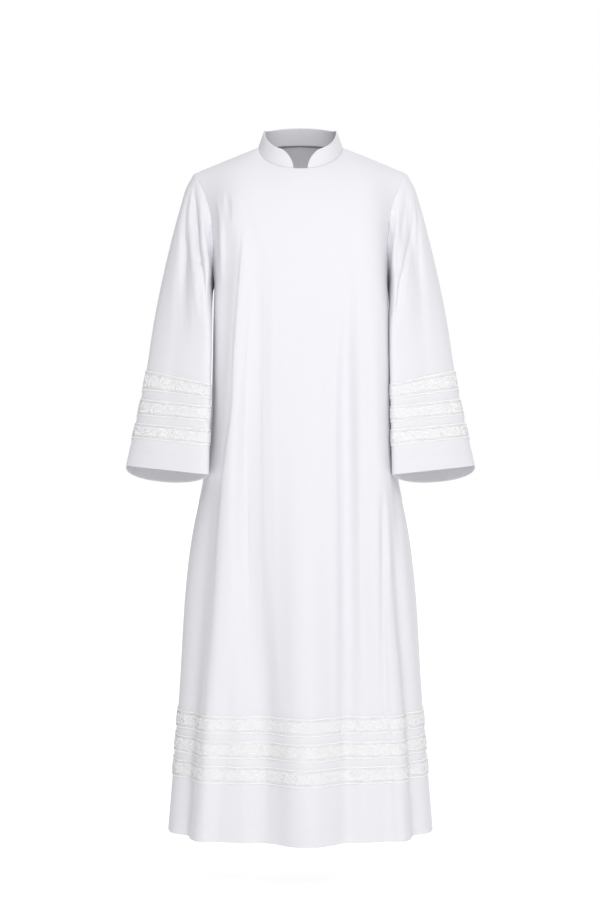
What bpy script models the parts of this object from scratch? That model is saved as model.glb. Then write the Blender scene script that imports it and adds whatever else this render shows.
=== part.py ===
"""Alb: a white ankle-length robe for clergy, hollow, hanging as it does on a standing figure.

Units are metres. +Z is up and the front faces -Y. The origin is the middle of the neck, level with the inner
ends of the shoulder seams, where the wearer's shoulders hold the garment. Left and right are the wearer's, so
the left sleeve is at +X.

Every piece of cloth is a wall built on a grid of points, the cloth's middle surface, which is worked out from
the sections and fold tables below. Two pieces that are sewn together share one line of points, the seam, and
each stands back from it by half the seam gap. A lace band is made from its panel's own points, moved out.
"""

import math
from collections import namedtuple

import bpy
import numpy as np

# Cloth
CLOTH = 0.0016  # thickness of a panel's wall
COLLAR_CLOTH = 0.0022  # the collar is two layers and an interlining
SEAM_GAP = 0.0003

# Body: heights and the side seam
HEM_Z = -1.425
UNDERARM_Z = -0.290
SHOULDER_END = (0.2230, 0.003, -0.0560)  # outer end of the shoulder seam, left side
SHOULDER_FULLNESS = 0.12  # at the top the cloth is as deep as it is this much nearer the centre lower down
CENTRE_BEND, SIDE_BEND = 0.80, 0.29  # how evenly the cloth bends over at the centre, and over the shoulder
YOKE_SPREAD, YOKE_ROUND = 1.4, 2.6  # how late, going up, the cloth spreads to the shoulder and bends over
CORNER_REACH, CORNER_FADE = 0.24, 0.10  # how widely and how soon below it the edge's corner is rounded off
NECK_HALF_WIDTH = 0.0875
NECK_FRONT_Y = -0.090
NECK_BACK_Y = 0.068
NECK_MEAN_DEPTH = (NECK_BACK_Y - NECK_FRONT_Y) / 2
NECK_FRONT_SLOPE = 0.62  # the front neckline lies in a plane that falls this much per metre forward
NECK_BACK_RISE = 0.014
NECK_ROUNDNESS = 2.15
NOTCH_HALF_WIDTH = 0.0145  # where the collar's two front ends leave the neckline bare

# Collar
COLLAR_HEIGHT = 0.038
COLLAR_LEAN = math.radians(19)
COLLAR_END_LENGTH = 0.036  # the front end rises to full height over this length
COLLAR_END_LOW = 0.004  # height of the very end
COLLAR_END_POWER, COLLAR_END_ROOT = 2.2, 0.7  # how the end's curve leaves the top edge, and how it comes down
COLLAR_END_STEPS = (0.0, 0.06, 0.15, 0.3, 0.5, 0.75)  # parts of the end's length that get a column
COLLAR_COLUMNS_APART = 0.0015  # at least, but at the neckline's own points

# Lace bands, measured up from the edge of the hem or cuff
BAND_COUNT = 3
HEM_PLAIN, HEM_BAND, HEM_BETWEEN = 0.1160, 0.0365, 0.0138
CUFF_PLAIN, CUFF_BAND, CUFF_BETWEEN = 0.0620, 0.0355, 0.0165
BAND_CLOTH = 0.0010  # the lace between its two cords
CORD_PROUD = 0.0022  # the cord at each edge of a band
CORD_WIDTH = 0.0042

# Button at the centre back of the collar
BUTTON_RADIUS, BUTTON_THICK = 0.0055, 0.0022
BUTTON_PROFILE = ((0.86, 0.0), (1.0, 0.45), (0.9, 1.0), (0.66, 1.0), (0.5, 0.6))  # of radius, of thickness
BUTTON_FROM_CENTRE = 0.0085  # from the centre back, on the left half
BUTTON_SIDES = 20

# How fine the solids are
COLUMNS = 32  # across a panel, side seam to side seam
YOKE_ROWS = 11  # from the underarm to the shoulder, and half the sleeve's columns
HALF = COLUMNS // 2
NECK_COLUMN = HALF // 2  # the column that meets the inner end of the shoulder seam
SKIRT_STATIONS = (-1.070, -0.970, -0.870, -0.770, -0.680, -0.595, -0.510, -0.425, -0.350)
SLEEVE_STATIONS = (0.250, 0.300, 0.350, 0.400, 0.440, 0.475)
COLLAR_ROWS = 3

Section = namedtuple("Section", "z half_width side_y front_y back_y squareness")
BODY = (
    Section(-1.425, 0.2765, 0.016, -0.163, 0.200, 2.50),
    Section(-1.174, 0.2560, 0.014, -0.150, 0.182, 2.50),
    Section(-0.800, 0.2245, 0.010, -0.146, 0.152, 2.75),
    Section(-0.700, 0.2045, 0.008, -0.145, 0.144, 3.50),
    Section(-0.600, 0.1905, 0.007, -0.144, 0.138, 4.60),
    Section(-0.450, 0.1835, 0.005, -0.142, 0.133, 6.00),
    Section(-0.350, 0.1815, 0.004, -0.140, 0.134, 6.00),
    Section(-0.290, 0.1790, 0.004, -0.140, 0.134, 5.20),
)

# The armhole's place across a panel, as a part of the way from the centre (0) to the side (1),
# by height from the underarm (0) to the shoulder (1)
Scye = namedtuple("Scye", "rise front_part back_part")
SCYE = (
    Scye(0.00, 1.000, 1.000),
    Scye(0.03, 0.940, 0.955),
    Scye(0.08, 0.868, 0.902),
    Scye(0.17, 0.785, 0.850),
    Scye(0.30, 0.738, 0.820),
    Scye(0.45, 0.744, 0.818),
    Scye(0.75, 0.804, 0.840),
    Scye(0.92, 0.842, 0.856),
    Scye(1.00, 0.860, 0.860),
)

FOLD_SPREAD_X, FOLD_SPREAD_Y = 0.25, 0.16  # half sizes of the oval that the folds stand out from, square on
SIDE_STILL = 10  # the higher, the nearer the folds come to the side seam before they fade

# Folds: each runs down the cloth through its points; lift is how far its crest stands out (or in, below 0)
Fold = namedtuple("Fold", "name z x half_width lift")
FRONT_FOLDS = (
    Fold("centre flute", -0.420, 0.000, 0.056, 0.000),
    Fold("centre flute", -0.800, 0.004, 0.068, 0.012),
    Fold("centre flute", -1.170, 0.009, 0.080, 0.030),
    Fold("centre flute", -1.425, 0.012, 0.088, 0.040),
    Fold("right breast fold", -0.170, -0.146, 0.018, 0.000),
    Fold("right breast fold", -0.230, -0.150, 0.030, -0.006),
    Fold("right breast fold", -0.320, -0.158, 0.034, -0.011),
    Fold("right breast fold", -0.570, -0.175, 0.036, -0.012),
    Fold("right breast fold", -0.850, -0.202, 0.036, -0.011),
    Fold("right breast fold", -1.150, -0.226, 0.030, -0.012),
    Fold("right breast fold", -1.425, -0.246, 0.026, -0.018),
    Fold("right ridge", -0.230, -0.102, 0.018, 0.000),
    Fold("right ridge", -0.420, -0.111, 0.026, 0.006),
    Fold("right ridge", -0.850, -0.150, 0.034, 0.007),
    Fold("right ridge", -1.200, -0.180, 0.036, 0.012),
    Fold("right ridge", -1.425, -0.198, 0.034, 0.016),
    Fold("right valley", -0.220, -0.074, 0.016, 0.000),
    Fold("right valley", -0.340, -0.078, 0.024, -0.009),
    Fold("right valley", -0.560, -0.080, 0.028, -0.013),
    Fold("right valley", -0.900, -0.078, 0.034, -0.012),
    Fold("right valley", -1.425, -0.086, 0.034, -0.006),
    Fold("left valley", -0.230, 0.096, 0.016, 0.000),
    Fold("left valley", -0.400, 0.097, 0.024, -0.007),
    Fold("left valley", -0.850, 0.100, 0.028, -0.010),
    Fold("left valley", -1.425, 0.096, 0.034, -0.006),
    Fold("left ridge", -0.260, 0.138, 0.022, 0.000),
    Fold("left ridge", -0.500, 0.146, 0.028, 0.004),
    Fold("left ridge", -0.900, 0.172, 0.032, 0.006),
    Fold("left ridge", -1.200, 0.192, 0.034, 0.011),
    Fold("left ridge", -1.425, 0.200, 0.034, 0.016),
    Fold("left hip fold", -0.700, 0.190, 0.018, 0.000),
    Fold("left hip fold", -0.860, 0.197, 0.020, -0.006),
    Fold("left hip fold", -1.150, 0.222, 0.024, -0.010),
    Fold("left hip fold", -1.425, 0.246, 0.026, -0.018),
)
BACK_FOLDS = (
    Fold("right blade flute", -0.380, -0.092, 0.040, 0.000),
    Fold("right blade flute", -0.800, -0.100, 0.050, 0.012),
    Fold("right blade flute", -1.425, -0.112, 0.060, 0.036),
    Fold("left blade flute", -0.340, 0.084, 0.040, 0.000),
    Fold("left blade flute", -0.780, 0.096, 0.048, 0.011),
    Fold("left blade flute", -1.425, 0.118, 0.060, 0.034),
    Fold("centre valley", -0.300, 0.000, 0.034, 0.000),
    Fold("centre valley", -0.700, -0.002, 0.040, -0.007),
    Fold("centre valley", -1.425, -0.004, 0.048, -0.014),
    Fold("right back ridge", -0.600, -0.172, 0.024, 0.000),
    Fold("right back ridge", -1.000, -0.188, 0.028, 0.008),
    Fold("right back ridge", -1.425, -0.210, 0.032, 0.016),
    Fold("left back ridge", -0.680, 0.176, 0.024, 0.000),
    Fold("left back ridge", -1.050, 0.192, 0.028, 0.009),
    Fold("left back ridge", -1.425, 0.214, 0.032, 0.015),
)
# The same for the sleeves, with x on the left sleeve as seen from the front (or, for the back, from behind)
SLEEVE_FRONT_FOLDS = (
    Fold("outer valley", -0.085, 0.2290, 0.004, 0.000),
    Fold("outer valley", -0.180, 0.2400, 0.013, -0.006),
    Fold("outer valley", -0.330, 0.2480, 0.020, -0.003),
    Fold("outer valley", -0.440, 0.2520, 0.022, 0.000),
    Fold("head ridge", -0.085, 0.2210, 0.005, 0.000),
    Fold("head ridge", -0.190, 0.2180, 0.012, 0.005),
    Fold("head ridge", -0.320, 0.2200, 0.016, 0.003),
    Fold("head ridge", -0.430, 0.2240, 0.018, 0.000),
    Fold("armhole valley", -0.130, 0.2080, 0.006, 0.000),
    Fold("armhole valley", -0.220, 0.1960, 0.010, -0.005),
    Fold("armhole valley", -0.330, 0.1900, 0.012, 0.000),
)
SLEEVE_BACK_FOLDS = (
    Fold("elbow ridge", -0.120, 0.2250, 0.010, 0.000),
    Fold("elbow ridge", -0.260, 0.2380, 0.018, 0.006),
    Fold("elbow ridge", -0.430, 0.2560, 0.022, 0.000),
    Fold("elbow valley", -0.160, 0.2520, 0.010, 0.000),
    Fold("elbow valley", -0.300, 0.2640, 0.016, -0.006),
    Fold("elbow valley", -0.440, 0.2800, 0.018, 0.000),
)

# Left sleeve, by distance above the cuff: its outer and inner lines, how far the front and the back stand
# from the middle of the two, and heel, the squareness of the back's inner half
SleeveRing = namedtuple(
    "SleeveRing",
    "up outer_x outer_y outer_z inner_x inner_y inner_z front_depth back_depth back_out back_drop heel",
)
SLEEVE = (
    SleeveRing(0.000, 0.3600, -0.046, -0.6645, 0.1870, -0.112, -0.6820, 0.028, 0.104, 0.022, 0.026, 2.15),
    SleeveRing(0.205, 0.3180, -0.036, -0.4630, 0.1836, -0.104, -0.4960, 0.026, 0.116, 0.018, 0.020, 2.60),
    SleeveRing(0.270, 0.3050, -0.030, -0.3730, 0.1825, -0.098, -0.4450, 0.030, 0.120, 0.010, 0.014, 3.40),
    SleeveRing(0.370, 0.2780, -0.014, -0.2350, 0.1822, -0.088, -0.3740, 0.044, 0.114, 0.006, 0.006, 3.60),
    SleeveRing(0.450, 0.2495, -0.002, -0.1220, 0.1828, -0.050, -0.3180, 0.068, 0.102, 0.003, 0.002, 3.60),
    SleeveRing(0.480, 0.2375, 0.002, -0.0830, 0.1828, -0.018, -0.2980, 0.076, 0.092, 0.000, 0.000, 3.00),
    SleeveRing(0.500, 0.2230, 0.003, -0.0560, 0.1790, 0.004, -0.2900, 0.080, 0.084, 0.000, 0.000, 2.15),
)
SLEEVE_LENGTH = SLEEVE[-1].up
SLEEVE_SQUARENESS, INNER_SQUARENESS = 2.15, 3.80  # the second for the front's inner half
HEAD_LENGTH = 0.16  # the armhole's own shape fades out of the sleeve over this length

MATERIALS = {  # name: colour, roughness
    "white_cloth": ((0.86, 0.86, 0.90), 0.80),
    "lace": ((0.90, 0.90, 0.93), 0.70),
    "button": ((0.90, 0.89, 0.87), 0.35),
}


def unit(vectors):
    """Vectors of length 1."""
    return vectors / np.linalg.norm(vectors, axis=-1, keepdims=True)


def curve_through(places, values, at):
    """Values of a smooth curve through the given points, level past its two ends; places rise."""
    places, values = np.asarray(places, float), np.asarray(values, float)
    at = np.clip(np.asarray(at, float), places[0], places[-1])
    slopes = np.gradient(values, places)
    i = np.clip(np.searchsorted(places, at, side="right") - 1, 0, len(places) - 2)
    span = places[i + 1] - places[i]
    t = (at - places[i]) / span
    start = values[i] * (1 + 2 * t) * (1 - t) ** 2 + slopes[i] * span * t * (1 - t) ** 2
    return start + values[i + 1] * t * t * (3 - 2 * t) - slopes[i + 1] * span * t * t * (1 - t)


def column(table, place, field, at):
    """One named column of a table of rows, read smoothly at the given places."""
    rows = sorted(table, key=lambda row: getattr(row, place))
    return curve_through([getattr(r, place) for r in rows], [getattr(r, field) for r in rows], at)


def fold_lift(folds, x, z):
    """How far the folds lift the cloth at the points x, z, as seen square on."""
    lift = np.zeros_like(x)
    for name in dict.fromkeys(fold.name for fold in folds):
        line = sorted((f for f in folds if f.name == name), key=lambda f: f.z)
        heights = [f.z for f in line]
        inside = (z >= heights[0] - 1e-9) & (z <= heights[-1])
        across = (x - curve_through(heights, [f.x for f in line], z)) / curve_through(
            heights, [f.half_width for f in line], z
        )
        swell = np.where(np.abs(across) < 1, np.cos(np.clip(across, -1, 1) * math.pi / 2) ** 2, 0)
        lift += np.where(inside, swell * curve_through(heights, [f.lift for f in line], z), 0)
    return lift


def half_section(z, facing, parts):
    """x and y of a level half section, from its centre (part 0) to the side seam (part 1), evenly spaced."""
    half_width, side_y, squareness = (
        float(column(BODY, "z", name, z)) for name in ("half_width", "side_y", "squareness")
    )
    end_y = float(column(BODY, "z", "front_y" if facing < 0 else "back_y", z))
    turn = np.linspace(0, math.pi / 2, 600)
    x = half_width * np.sin(turn) ** (2 / squareness)
    y = side_y + (end_y - side_y) * np.cos(turn).clip(0) ** (2 / squareness)
    length = np.concatenate([[0], np.cumsum(np.hypot(np.diff(x), np.diff(y)))])
    at = np.asarray(parts) * length[-1]
    return np.interp(at, length, x), np.interp(at, length, y)


def neckline(facing, parts):
    """Points of the left half of the neckline, from the centre (part 0) to the shoulder seam (part 1)."""
    end_y = NECK_FRONT_Y if facing < 0 else NECK_BACK_Y
    turn = np.linspace(0, math.pi / 2, 400)
    x = NECK_HALF_WIDTH * np.sin(turn) ** (2 / NECK_ROUNDNESS)
    y = end_y * np.cos(turn).clip(0) ** (2 / NECK_ROUNDNESS)
    z = NECK_FRONT_SLOPE * y if facing < 0 else NECK_BACK_RISE * (y / end_y) ** 2
    line = np.stack([x, y, z], axis=1)
    length = np.concatenate([[0], np.cumsum(np.linalg.norm(np.diff(line, axis=0), axis=1))])
    first = np.interp(NOTCH_HALF_WIDTH, x, length) / length[-1] if facing < 0 else 1 / NECK_COLUMN
    share = np.interp(np.asarray(parts), [0, 1 / NECK_COLUMN, 1], [0, first, 1]) * length[-1]
    return np.stack([np.interp(share, length, line[:, k]) for k in range(3)], axis=1)


def top_edge(facing, parts):
    """Points of a panel's top edge, left half: the neckline, then the shoulder seam and on past its end."""
    neck_share = NECK_COLUMN / HALF
    parts = np.asarray(parts)
    neck = neckline(facing, np.clip(parts / neck_share, 0, 1))
    along = ((parts - neck_share) / (1 - neck_share)).clip(0)[:, None]
    neck_end = np.array([NECK_HALF_WIDTH, 0.0, 0.0])
    shoulder = neck_end + (np.array(SHOULDER_END) - neck_end) * along
    return np.where((parts <= neck_share)[:, None], neck, shoulder)


def soft_edge(facing, parts):
    """The top edge with its corner at the neck rounded off, as the cloth takes it a little lower."""
    total, weights = 0, 0
    for shift in np.linspace(-1, 1, 25):
        at = parts + shift * CORNER_REACH
        weight = math.cos(shift * math.pi / 2) ** 2
        total = total + weight * top_edge(facing, np.abs(at)) * np.where(at[:, None] < 0, [-1, 1, 1], 1)
        weights += weight
    return total / weights


def flipped_x(grid):
    """The mirror image of a grid across the middle plane."""
    return grid * np.array([-1.0, 1.0, 1.0])


def mirrored(half):
    """A whole panel's grid from its left half, with the centre column first in the half."""
    return np.concatenate([flipped_x(half[:, :0:-1]), half], axis=1)


def skirt_rows(facing, heights, parts):
    """Grid of the panel below the underarm, left half."""
    rows = []
    for z in heights:
        x, y = half_section(z, facing, parts)
        rows.append(np.stack([x, y, np.full_like(x, z)], axis=1))
    return np.array(rows)


def yoke_rows(facing, rises, parts):
    """Grid of a panel from the underarm (rise 0) to the top edge (rise 1), left half, cut by the armhole."""
    edge_name = "front_part" if facing < 0 else "back_part"
    dense = np.linspace(0, 1, 400)
    low_x, low_y = half_section(UNDERARM_Z, facing, dense)
    whole = getattr(SCYE[-1], edge_name)
    edge, soft = top_edge(facing, dense / whole), soft_edge(facing, dense / whole)
    bend = CENTRE_BEND + (SIDE_BEND - CENTRE_BEND) * dense
    rows = []
    for rise in rises:
        top = edge + (soft - edge) * (1 - np.clip(1 - (1 - rise) / CORNER_FADE, 0, 1) ** 3)
        full_y = np.interp(dense * (1 - SHOULDER_FULLNESS * rise**2), dense, low_y)
        x = low_x + (top[:, 0] - low_x) * rise**YOKE_SPREAD
        y = top[:, 1] + (full_y - top[:, 1]) * (1 - rise**YOKE_ROUND) ** bend
        z = UNDERARM_Z + (top[:, 2] - UNDERARM_Z) * rise
        at = np.asarray(parts) * column(SCYE, "rise", edge_name, rise)
        rows.append(np.stack([np.interp(at, dense, v) for v in (x, y, z)], axis=1))
    return np.array(rows)


def outward(points):
    """Level directions away from the middle of the body."""
    x, y = points[..., 0] / FOLD_SPREAD_X**2, points[..., 1] / FOLD_SPREAD_Y**2
    return unit(np.stack([x, y, 0 * x], axis=-1) + 1e-9)


def panel_grid(facing, heights, rises, parts):
    """Middle surface of the front (facing -1) or the back (+1): rows up from the hem, columns across."""
    half = np.concatenate([skirt_rows(facing, heights, parts), yoke_rows(facing, rises, parts)])
    grid = mirrored(half)
    across = np.concatenate([-np.asarray(parts)[:0:-1], parts])
    lift = fold_lift(FRONT_FOLDS if facing < 0 else BACK_FOLDS, grid[..., 0], grid[..., 2])
    return grid + outward(grid) * (lift * (1 - across**SIDE_STILL))[..., None]


def armhole(front, back, first_row):
    """The left armhole's ring, from the shoulder down the front to the underarm and up the back."""
    return np.concatenate([front[:first_row - 1:-1, -1], back[first_row + 1:-1, -1]])


def sleeve_grid(ups, ring):
    """Middle surface of the left sleeve: rows down from the armhole to the cuff, columns round it."""
    turn = np.arange(len(ring)) * 2 * math.pi / len(ring)
    is_front, is_inner = turn < math.pi, np.cos(turn) < 0

    def plain(up):
        row = {name: float(column(SLEEVE, "up", name, up)) for name in SleeveRing._fields}
        square = np.select([is_inner & is_front, is_inner], [INNER_SQUARENESS, row["heel"]], SLEEVE_SQUARENESS)
        reach = np.sign(np.cos(turn)) * np.abs(np.cos(turn)) ** (2 / square)
        side = np.abs(np.sin(turn)) ** (2 / square)
        outer = np.array([row["outer_x"], row["outer_y"], row["outer_z"]])
        inner = np.array([row["inner_x"], row["inner_y"], row["inner_z"]])
        front = np.array([0, -row["front_depth"], 0])
        back = np.array([row["back_out"], row["back_depth"], -row["back_drop"]])
        middle = (outer + inner) / 2
        points = middle + (outer - middle) * reach[:, None]
        return points + np.where(is_front[:, None], front, back) * side[:, None], middle, side

    head = ring - plain(SLEEVE_LENGTH)[0]
    rows = []
    for up in ups:
        points, middle, side = plain(up)
        away = points - middle
        away[:, 2] = 0
        for folds, facing in ((SLEEVE_FRONT_FOLDS, is_front), (SLEEVE_BACK_FOLDS, ~is_front)):
            lift = fold_lift(folds, points[:, 0], points[:, 2]) * facing * side
            points = points + unit(away + 1e-9) * lift[:, None]
        fade = np.clip((SLEEVE_LENGTH - up) / HEAD_LENGTH, 0, 1)
        rows.append(points + head * (1 - fade * fade * (3 - 2 * fade)))
    return np.array(rows)


def collar_grid(neck_line, rises):
    """Middle surface of the collar's left half: rows up, columns from the front end to the centre back."""
    lengths = np.concatenate([[0], np.cumsum(np.linalg.norm(np.diff(neck_line, axis=0), axis=1))])
    ends = [COLLAR_END_LENGTH * part for part in COLLAR_END_STEPS]
    places = np.unique(np.round(np.concatenate([ends, lengths]), 7))
    close = np.diff(places) < COLLAR_COLUMNS_APART
    keep = np.concatenate([[True], ~close])
    keep |= np.isin(places, np.round(lengths, 7))
    places = places[keep]
    base = np.stack([np.interp(places, lengths, neck_line[:, k]) for k in range(3)], axis=1)
    out = np.stack([base[:, 0] / NECK_HALF_WIDTH**2, base[:, 1] / NECK_MEAN_DEPTH**2, 0 * places], axis=1)
    out[-1, 0] = 0
    lean = math.cos(COLLAR_LEAN) * np.array([0, 0, 1]) - math.sin(COLLAR_LEAN) * unit(out)
    part = np.clip(1 - places / COLLAR_END_LENGTH, 0, 1)
    full = (1 - part**COLLAR_END_POWER) ** COLLAR_END_ROOT
    height = COLLAR_END_LOW + (COLLAR_HEIGHT - COLLAR_END_LOW) * full
    return np.array([base + lean * (height * rise)[:, None] for rise in rises])


def triangle_normals(grid, closed):
    """Outward unit normals at the points of a grid, from its neighbours' differences."""
    rows = np.gradient(grid, axis=0)
    if closed:
        columns = np.roll(grid, -1, axis=1) - np.roll(grid, 1, axis=1)
    else:
        columns = np.gradient(grid, axis=1)
    return unit(np.cross(columns, rows))


class Piece:
    """A piece of cloth: its grid, its outward normals and the seams on its edge.

    A seam is a name and a list of (row, column); the pieces that meet at it use the same name."""

    def __init__(self, name, grid, facing, seams, thick=CLOTH, closed=False):
        self.name, self.grid, self.thick, self.closed = name, grid, thick, closed
        self.normals = triangle_normals(grid, closed) * facing
        self.outer_first = facing > 0
        self.seams = seams
        self.leans = short_diagonals(grid, closed)


def short_diagonals(grid, closed):
    """For each cell of a grid, whether the diagonal from its first corner is the shorter one."""
    here, following = (grid, np.roll(grid, -1, axis=1)) if closed else (grid[:, :-1], grid[:, 1:])
    ahead = np.linalg.norm(here[:-1] - following[1:], axis=-1)
    across = np.linalg.norm(following[:-1] - here[1:], axis=-1)
    return ahead <= across + 1e-7


def point_key(point):
    """A seam point's place, the same for each piece that shares it."""
    return tuple(np.round(point * 1e6).astype(int))


def share_seams(pieces):
    """Gives pieces that meet at a seam one normal at each of its points; returns the seams' directions."""
    totals, steps = {}, {}
    for piece in pieces:
        for place in {place for _, seam in piece.seams for place in seam}:
            key = point_key(piece.grid[place])
            totals[key] = totals.get(key, 0) + piece.normals[place]
        for name, seam in piece.seams:
            links = list(zip(seam, seam[1:] + seam[:1] if piece.closed else seam[1:]))
            for a, b in links + [(b, a) for a, b in links]:
                step = unit(piece.grid[b] - piece.grid[a])
                steps.setdefault((name, point_key(piece.grid[a])), []).append(step)
    for piece in pieces:
        for place in {place for _, seam in piece.seams for place in seam}:
            piece.normals[place] = unit(totals[point_key(piece.grid[place])])
    directions = {}
    for key, ways in steps.items():
        ahead = [way for way in ways if np.dot(way, ways[0]) > 0]
        behind = [way for way in ways if np.dot(way, ways[0]) <= 0]
        directions[key] = np.mean(ahead, axis=0) - (np.mean(behind, axis=0) if behind else 0)
    return directions


def inner_neighbour(grid, place, seam):
    """A point of the grid next to a seam's point, on the cloth's side of it."""
    row, col = place
    if seam[0][0] == seam[1][0]:
        return grid[row + 1 if row == 0 else row - 1, col]
    return grid[row, col + 1 if col == 0 else col - 1]


def stand_back(piece, directions):
    """The piece's grid with each seam moved in by half the gap."""
    moved = piece.grid.copy()
    for name, seam in piece.seams:
        for place in seam:
            direction = directions[name, point_key(piece.grid[place])]
            way = unit(np.cross(piece.normals[place], direction))
            inside = inner_neighbour(piece.grid, place, seam) - piece.grid[place]
            moved[place] += way * math.copysign(SEAM_GAP / 2, float(np.dot(way, inside)))
    return moved


def cell_faces(a, b, d, e, ahead):
    """The two triangles of a cell, split from a to e (ahead) or from b to d."""
    return [(a, b, e), (a, e, d)] if ahead else [(a, b, d), (b, e, d)]


def grid_faces(count_columns, leans, flip):
    """Triangles of a grid of points numbered row by row."""
    faces = []
    for (r, c), ahead in np.ndenumerate(leans):
        a, b = r * count_columns + c, r * count_columns + (c + 1) % count_columns
        faces += cell_faces(a, b, a + count_columns, b + count_columns, ahead)
    return [face[::-1] for face in faces] if flip else faces


def rim_loop(count_rows, count_columns, closed):
    """The edge loops of a grid, as lists of point numbers, with the cloth on the left of each."""
    last = (count_rows - 1) * count_columns
    bottom, top = list(range(count_columns)), [last + c for c in range(count_columns)]
    if closed:
        return [bottom, top[::-1]]
    left = [r * count_columns for r in range(count_rows)]
    right = [r * count_columns + count_columns - 1 for r in range(count_rows)]
    return [bottom[:-1] + right[:-1] + top[:0:-1] + left[:0:-1]]


# The two walls at a seam split their rims along the same diagonals, from the end that is further this way
RIM_ORDER = np.array([0.31, 0.47, 0.83])


def add_wall(piece, directions):
    """The piece's cloth as a solid wall."""
    middle = stand_back(piece, directions)
    half = piece.normals * piece.thick / 2
    rows, columns = middle.shape[:2]
    count = rows * columns
    flip = not piece.outer_first
    points = np.concatenate([(middle + half).reshape(-1, 3), (middle - half).reshape(-1, 3)])
    faces = grid_faces(columns, piece.leans, flip)
    faces += [tuple(count + i for i in face[::-1]) for face in faces]
    height = (points[:count] + points[count:]) @ RIM_ORDER
    for loop in rim_loop(rows, columns, piece.closed):
        for i, a in enumerate(loop):
            b = loop[(i + 1) % len(loop)]
            rim = [(b, a, count + a), (b, count + a, count + b)]
            if height[a] > height[b]:
                rim = [(b, a, count + b), (a, count + a, count + b)]
            faces += [face[::-1] for face in rim] if flip else rim
    add_mesh(piece.name, points, faces, "white_cloth")


def add_mesh(name, points, faces, material):
    """A new object with the given mesh and material."""
    mesh = bpy.data.meshes.new(name)
    mesh.from_pydata([tuple(p) for p in points], [], [tuple(f) for f in faces])
    mesh.shade_smooth()
    mesh.set_sharp_from_angle(angle=math.radians(50))
    mesh.materials.append(bpy.data.materials[material])
    bpy.context.scene.collection.objects.link(bpy.data.objects.new(name, mesh))


def add_band(piece, directions, name, low_row, high_row):
    """A lace band on a piece's outside, between two rows of its grid: lace with a cord along each edge."""
    middle = stand_back(piece, directions)
    face = middle + piece.normals * (piece.thick / 2 + SEAM_GAP)
    low, high = face[low_row], face[high_row]
    low_normal, high_normal = piece.normals[low_row], piece.normals[high_row]
    height = np.linalg.norm(high - low, axis=1).mean()
    cord_part = CORD_WIDTH / height
    outer = []
    section = ((0, CORD_PROUD), (cord_part, BAND_CLOTH), (1 - cord_part, BAND_CLOTH), (1, CORD_PROUD))
    for part, proud in section:
        normal = unit(low_normal + (high_normal - low_normal) * part)
        outer.append(low + (high - low) * part + normal * proud)
    count = len(low)
    ring = [low] + outer + [high]  # the section's points, from the inside's low edge round to its high edge
    points = np.concatenate(ring)
    faces = []
    rising = high_row > low_row
    for k in range(len(ring)):
        start, stop = k * count, (k + 1) % len(ring) * count
        same_way = rising == (k < len(ring) - 1)  # each side is split along the panel's own diagonals
        for c, ahead in enumerate(piece.leans[min(low_row, high_row)]):
            following = (c + 1) % count
            faces += cell_faces(start + c, start + following, stop + c, stop + following, same_way == ahead)
    if not piece.closed:
        for c, turned in ((0, False), (count - 1, True)):
            ends = [k * count + c for k in range(len(ring))]
            fan = [(ends[0], ends[k], ends[k + 1]) for k in range(1, len(ends) - 1)]
            faces += [f[::-1] if turned else f for f in fan]
    flip = rising != piece.outer_first
    add_mesh(name, points, [f[::-1] for f in faces] if flip else faces, "lace")


def add_button(collar):
    """The button, flat on the outside of the collar's left half beside the centre back."""
    row = COLLAR_ROWS // 2 + 1
    last, before = collar.grid[row, -1], collar.grid[row, -2]
    across = unit(before - last)
    normal = unit(np.cross(across, collar.grid[row + 1, -1] - collar.grid[row - 1, -1]))
    normal *= math.copysign(1, normal[1])
    up = unit(np.cross(normal, across))
    lift = COLLAR_CLOTH / 2 + 2 * SEAM_GAP
    place = last + across * BUTTON_FROM_CENTRE + normal * lift
    points, faces = [place], []
    for radius, height in BUTTON_PROFILE:
        for k in range(BUTTON_SIDES):
            turn = 2 * math.pi * k / BUTTON_SIDES
            ring = across * math.cos(turn) + up * math.sin(turn)
            points.append(place + ring * BUTTON_RADIUS * radius + normal * BUTTON_THICK * height)
    points.append(place + normal * BUTTON_THICK * BUTTON_PROFILE[-1][1])
    top = len(points) - 1
    for k in range(BUTTON_SIDES):
        following = (k + 1) % BUTTON_SIDES
        faces.append((0, 1 + following, 1 + k))
        for ring in range(len(BUTTON_PROFILE) - 1):
            a, b = 1 + ring * BUTTON_SIDES + k, 1 + ring * BUTTON_SIDES + following
            faces += [(a, b, b + BUTTON_SIDES), (a, b + BUTTON_SIDES, a + BUTTON_SIDES)]
        faces.append((top - BUTTON_SIDES + k, top - BUTTON_SIDES + following, top))
    handed = float(np.dot(np.cross(across, up), normal))
    add_mesh("collar_button", points, faces if handed > 0 else [f[::-1] for f in faces], "button")


def band_edges(plain, band, between):
    """Distances of the bands' edges above the hem or cuff, lowest first."""
    edges = []
    for k in range(BAND_COUNT):
        low = plain + k * (band + between)
        edges += [low, low + band]
    return edges


def make_materials():
    for name, (colour, roughness) in MATERIALS.items():
        material = bpy.data.materials.new(name)
        material.use_nodes = True
        shader = material.node_tree.nodes["Principled BSDF"]
        shader.inputs["Base Color"].default_value = (*colour, 1)
        shader.inputs["Roughness"].default_value = roughness


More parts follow.
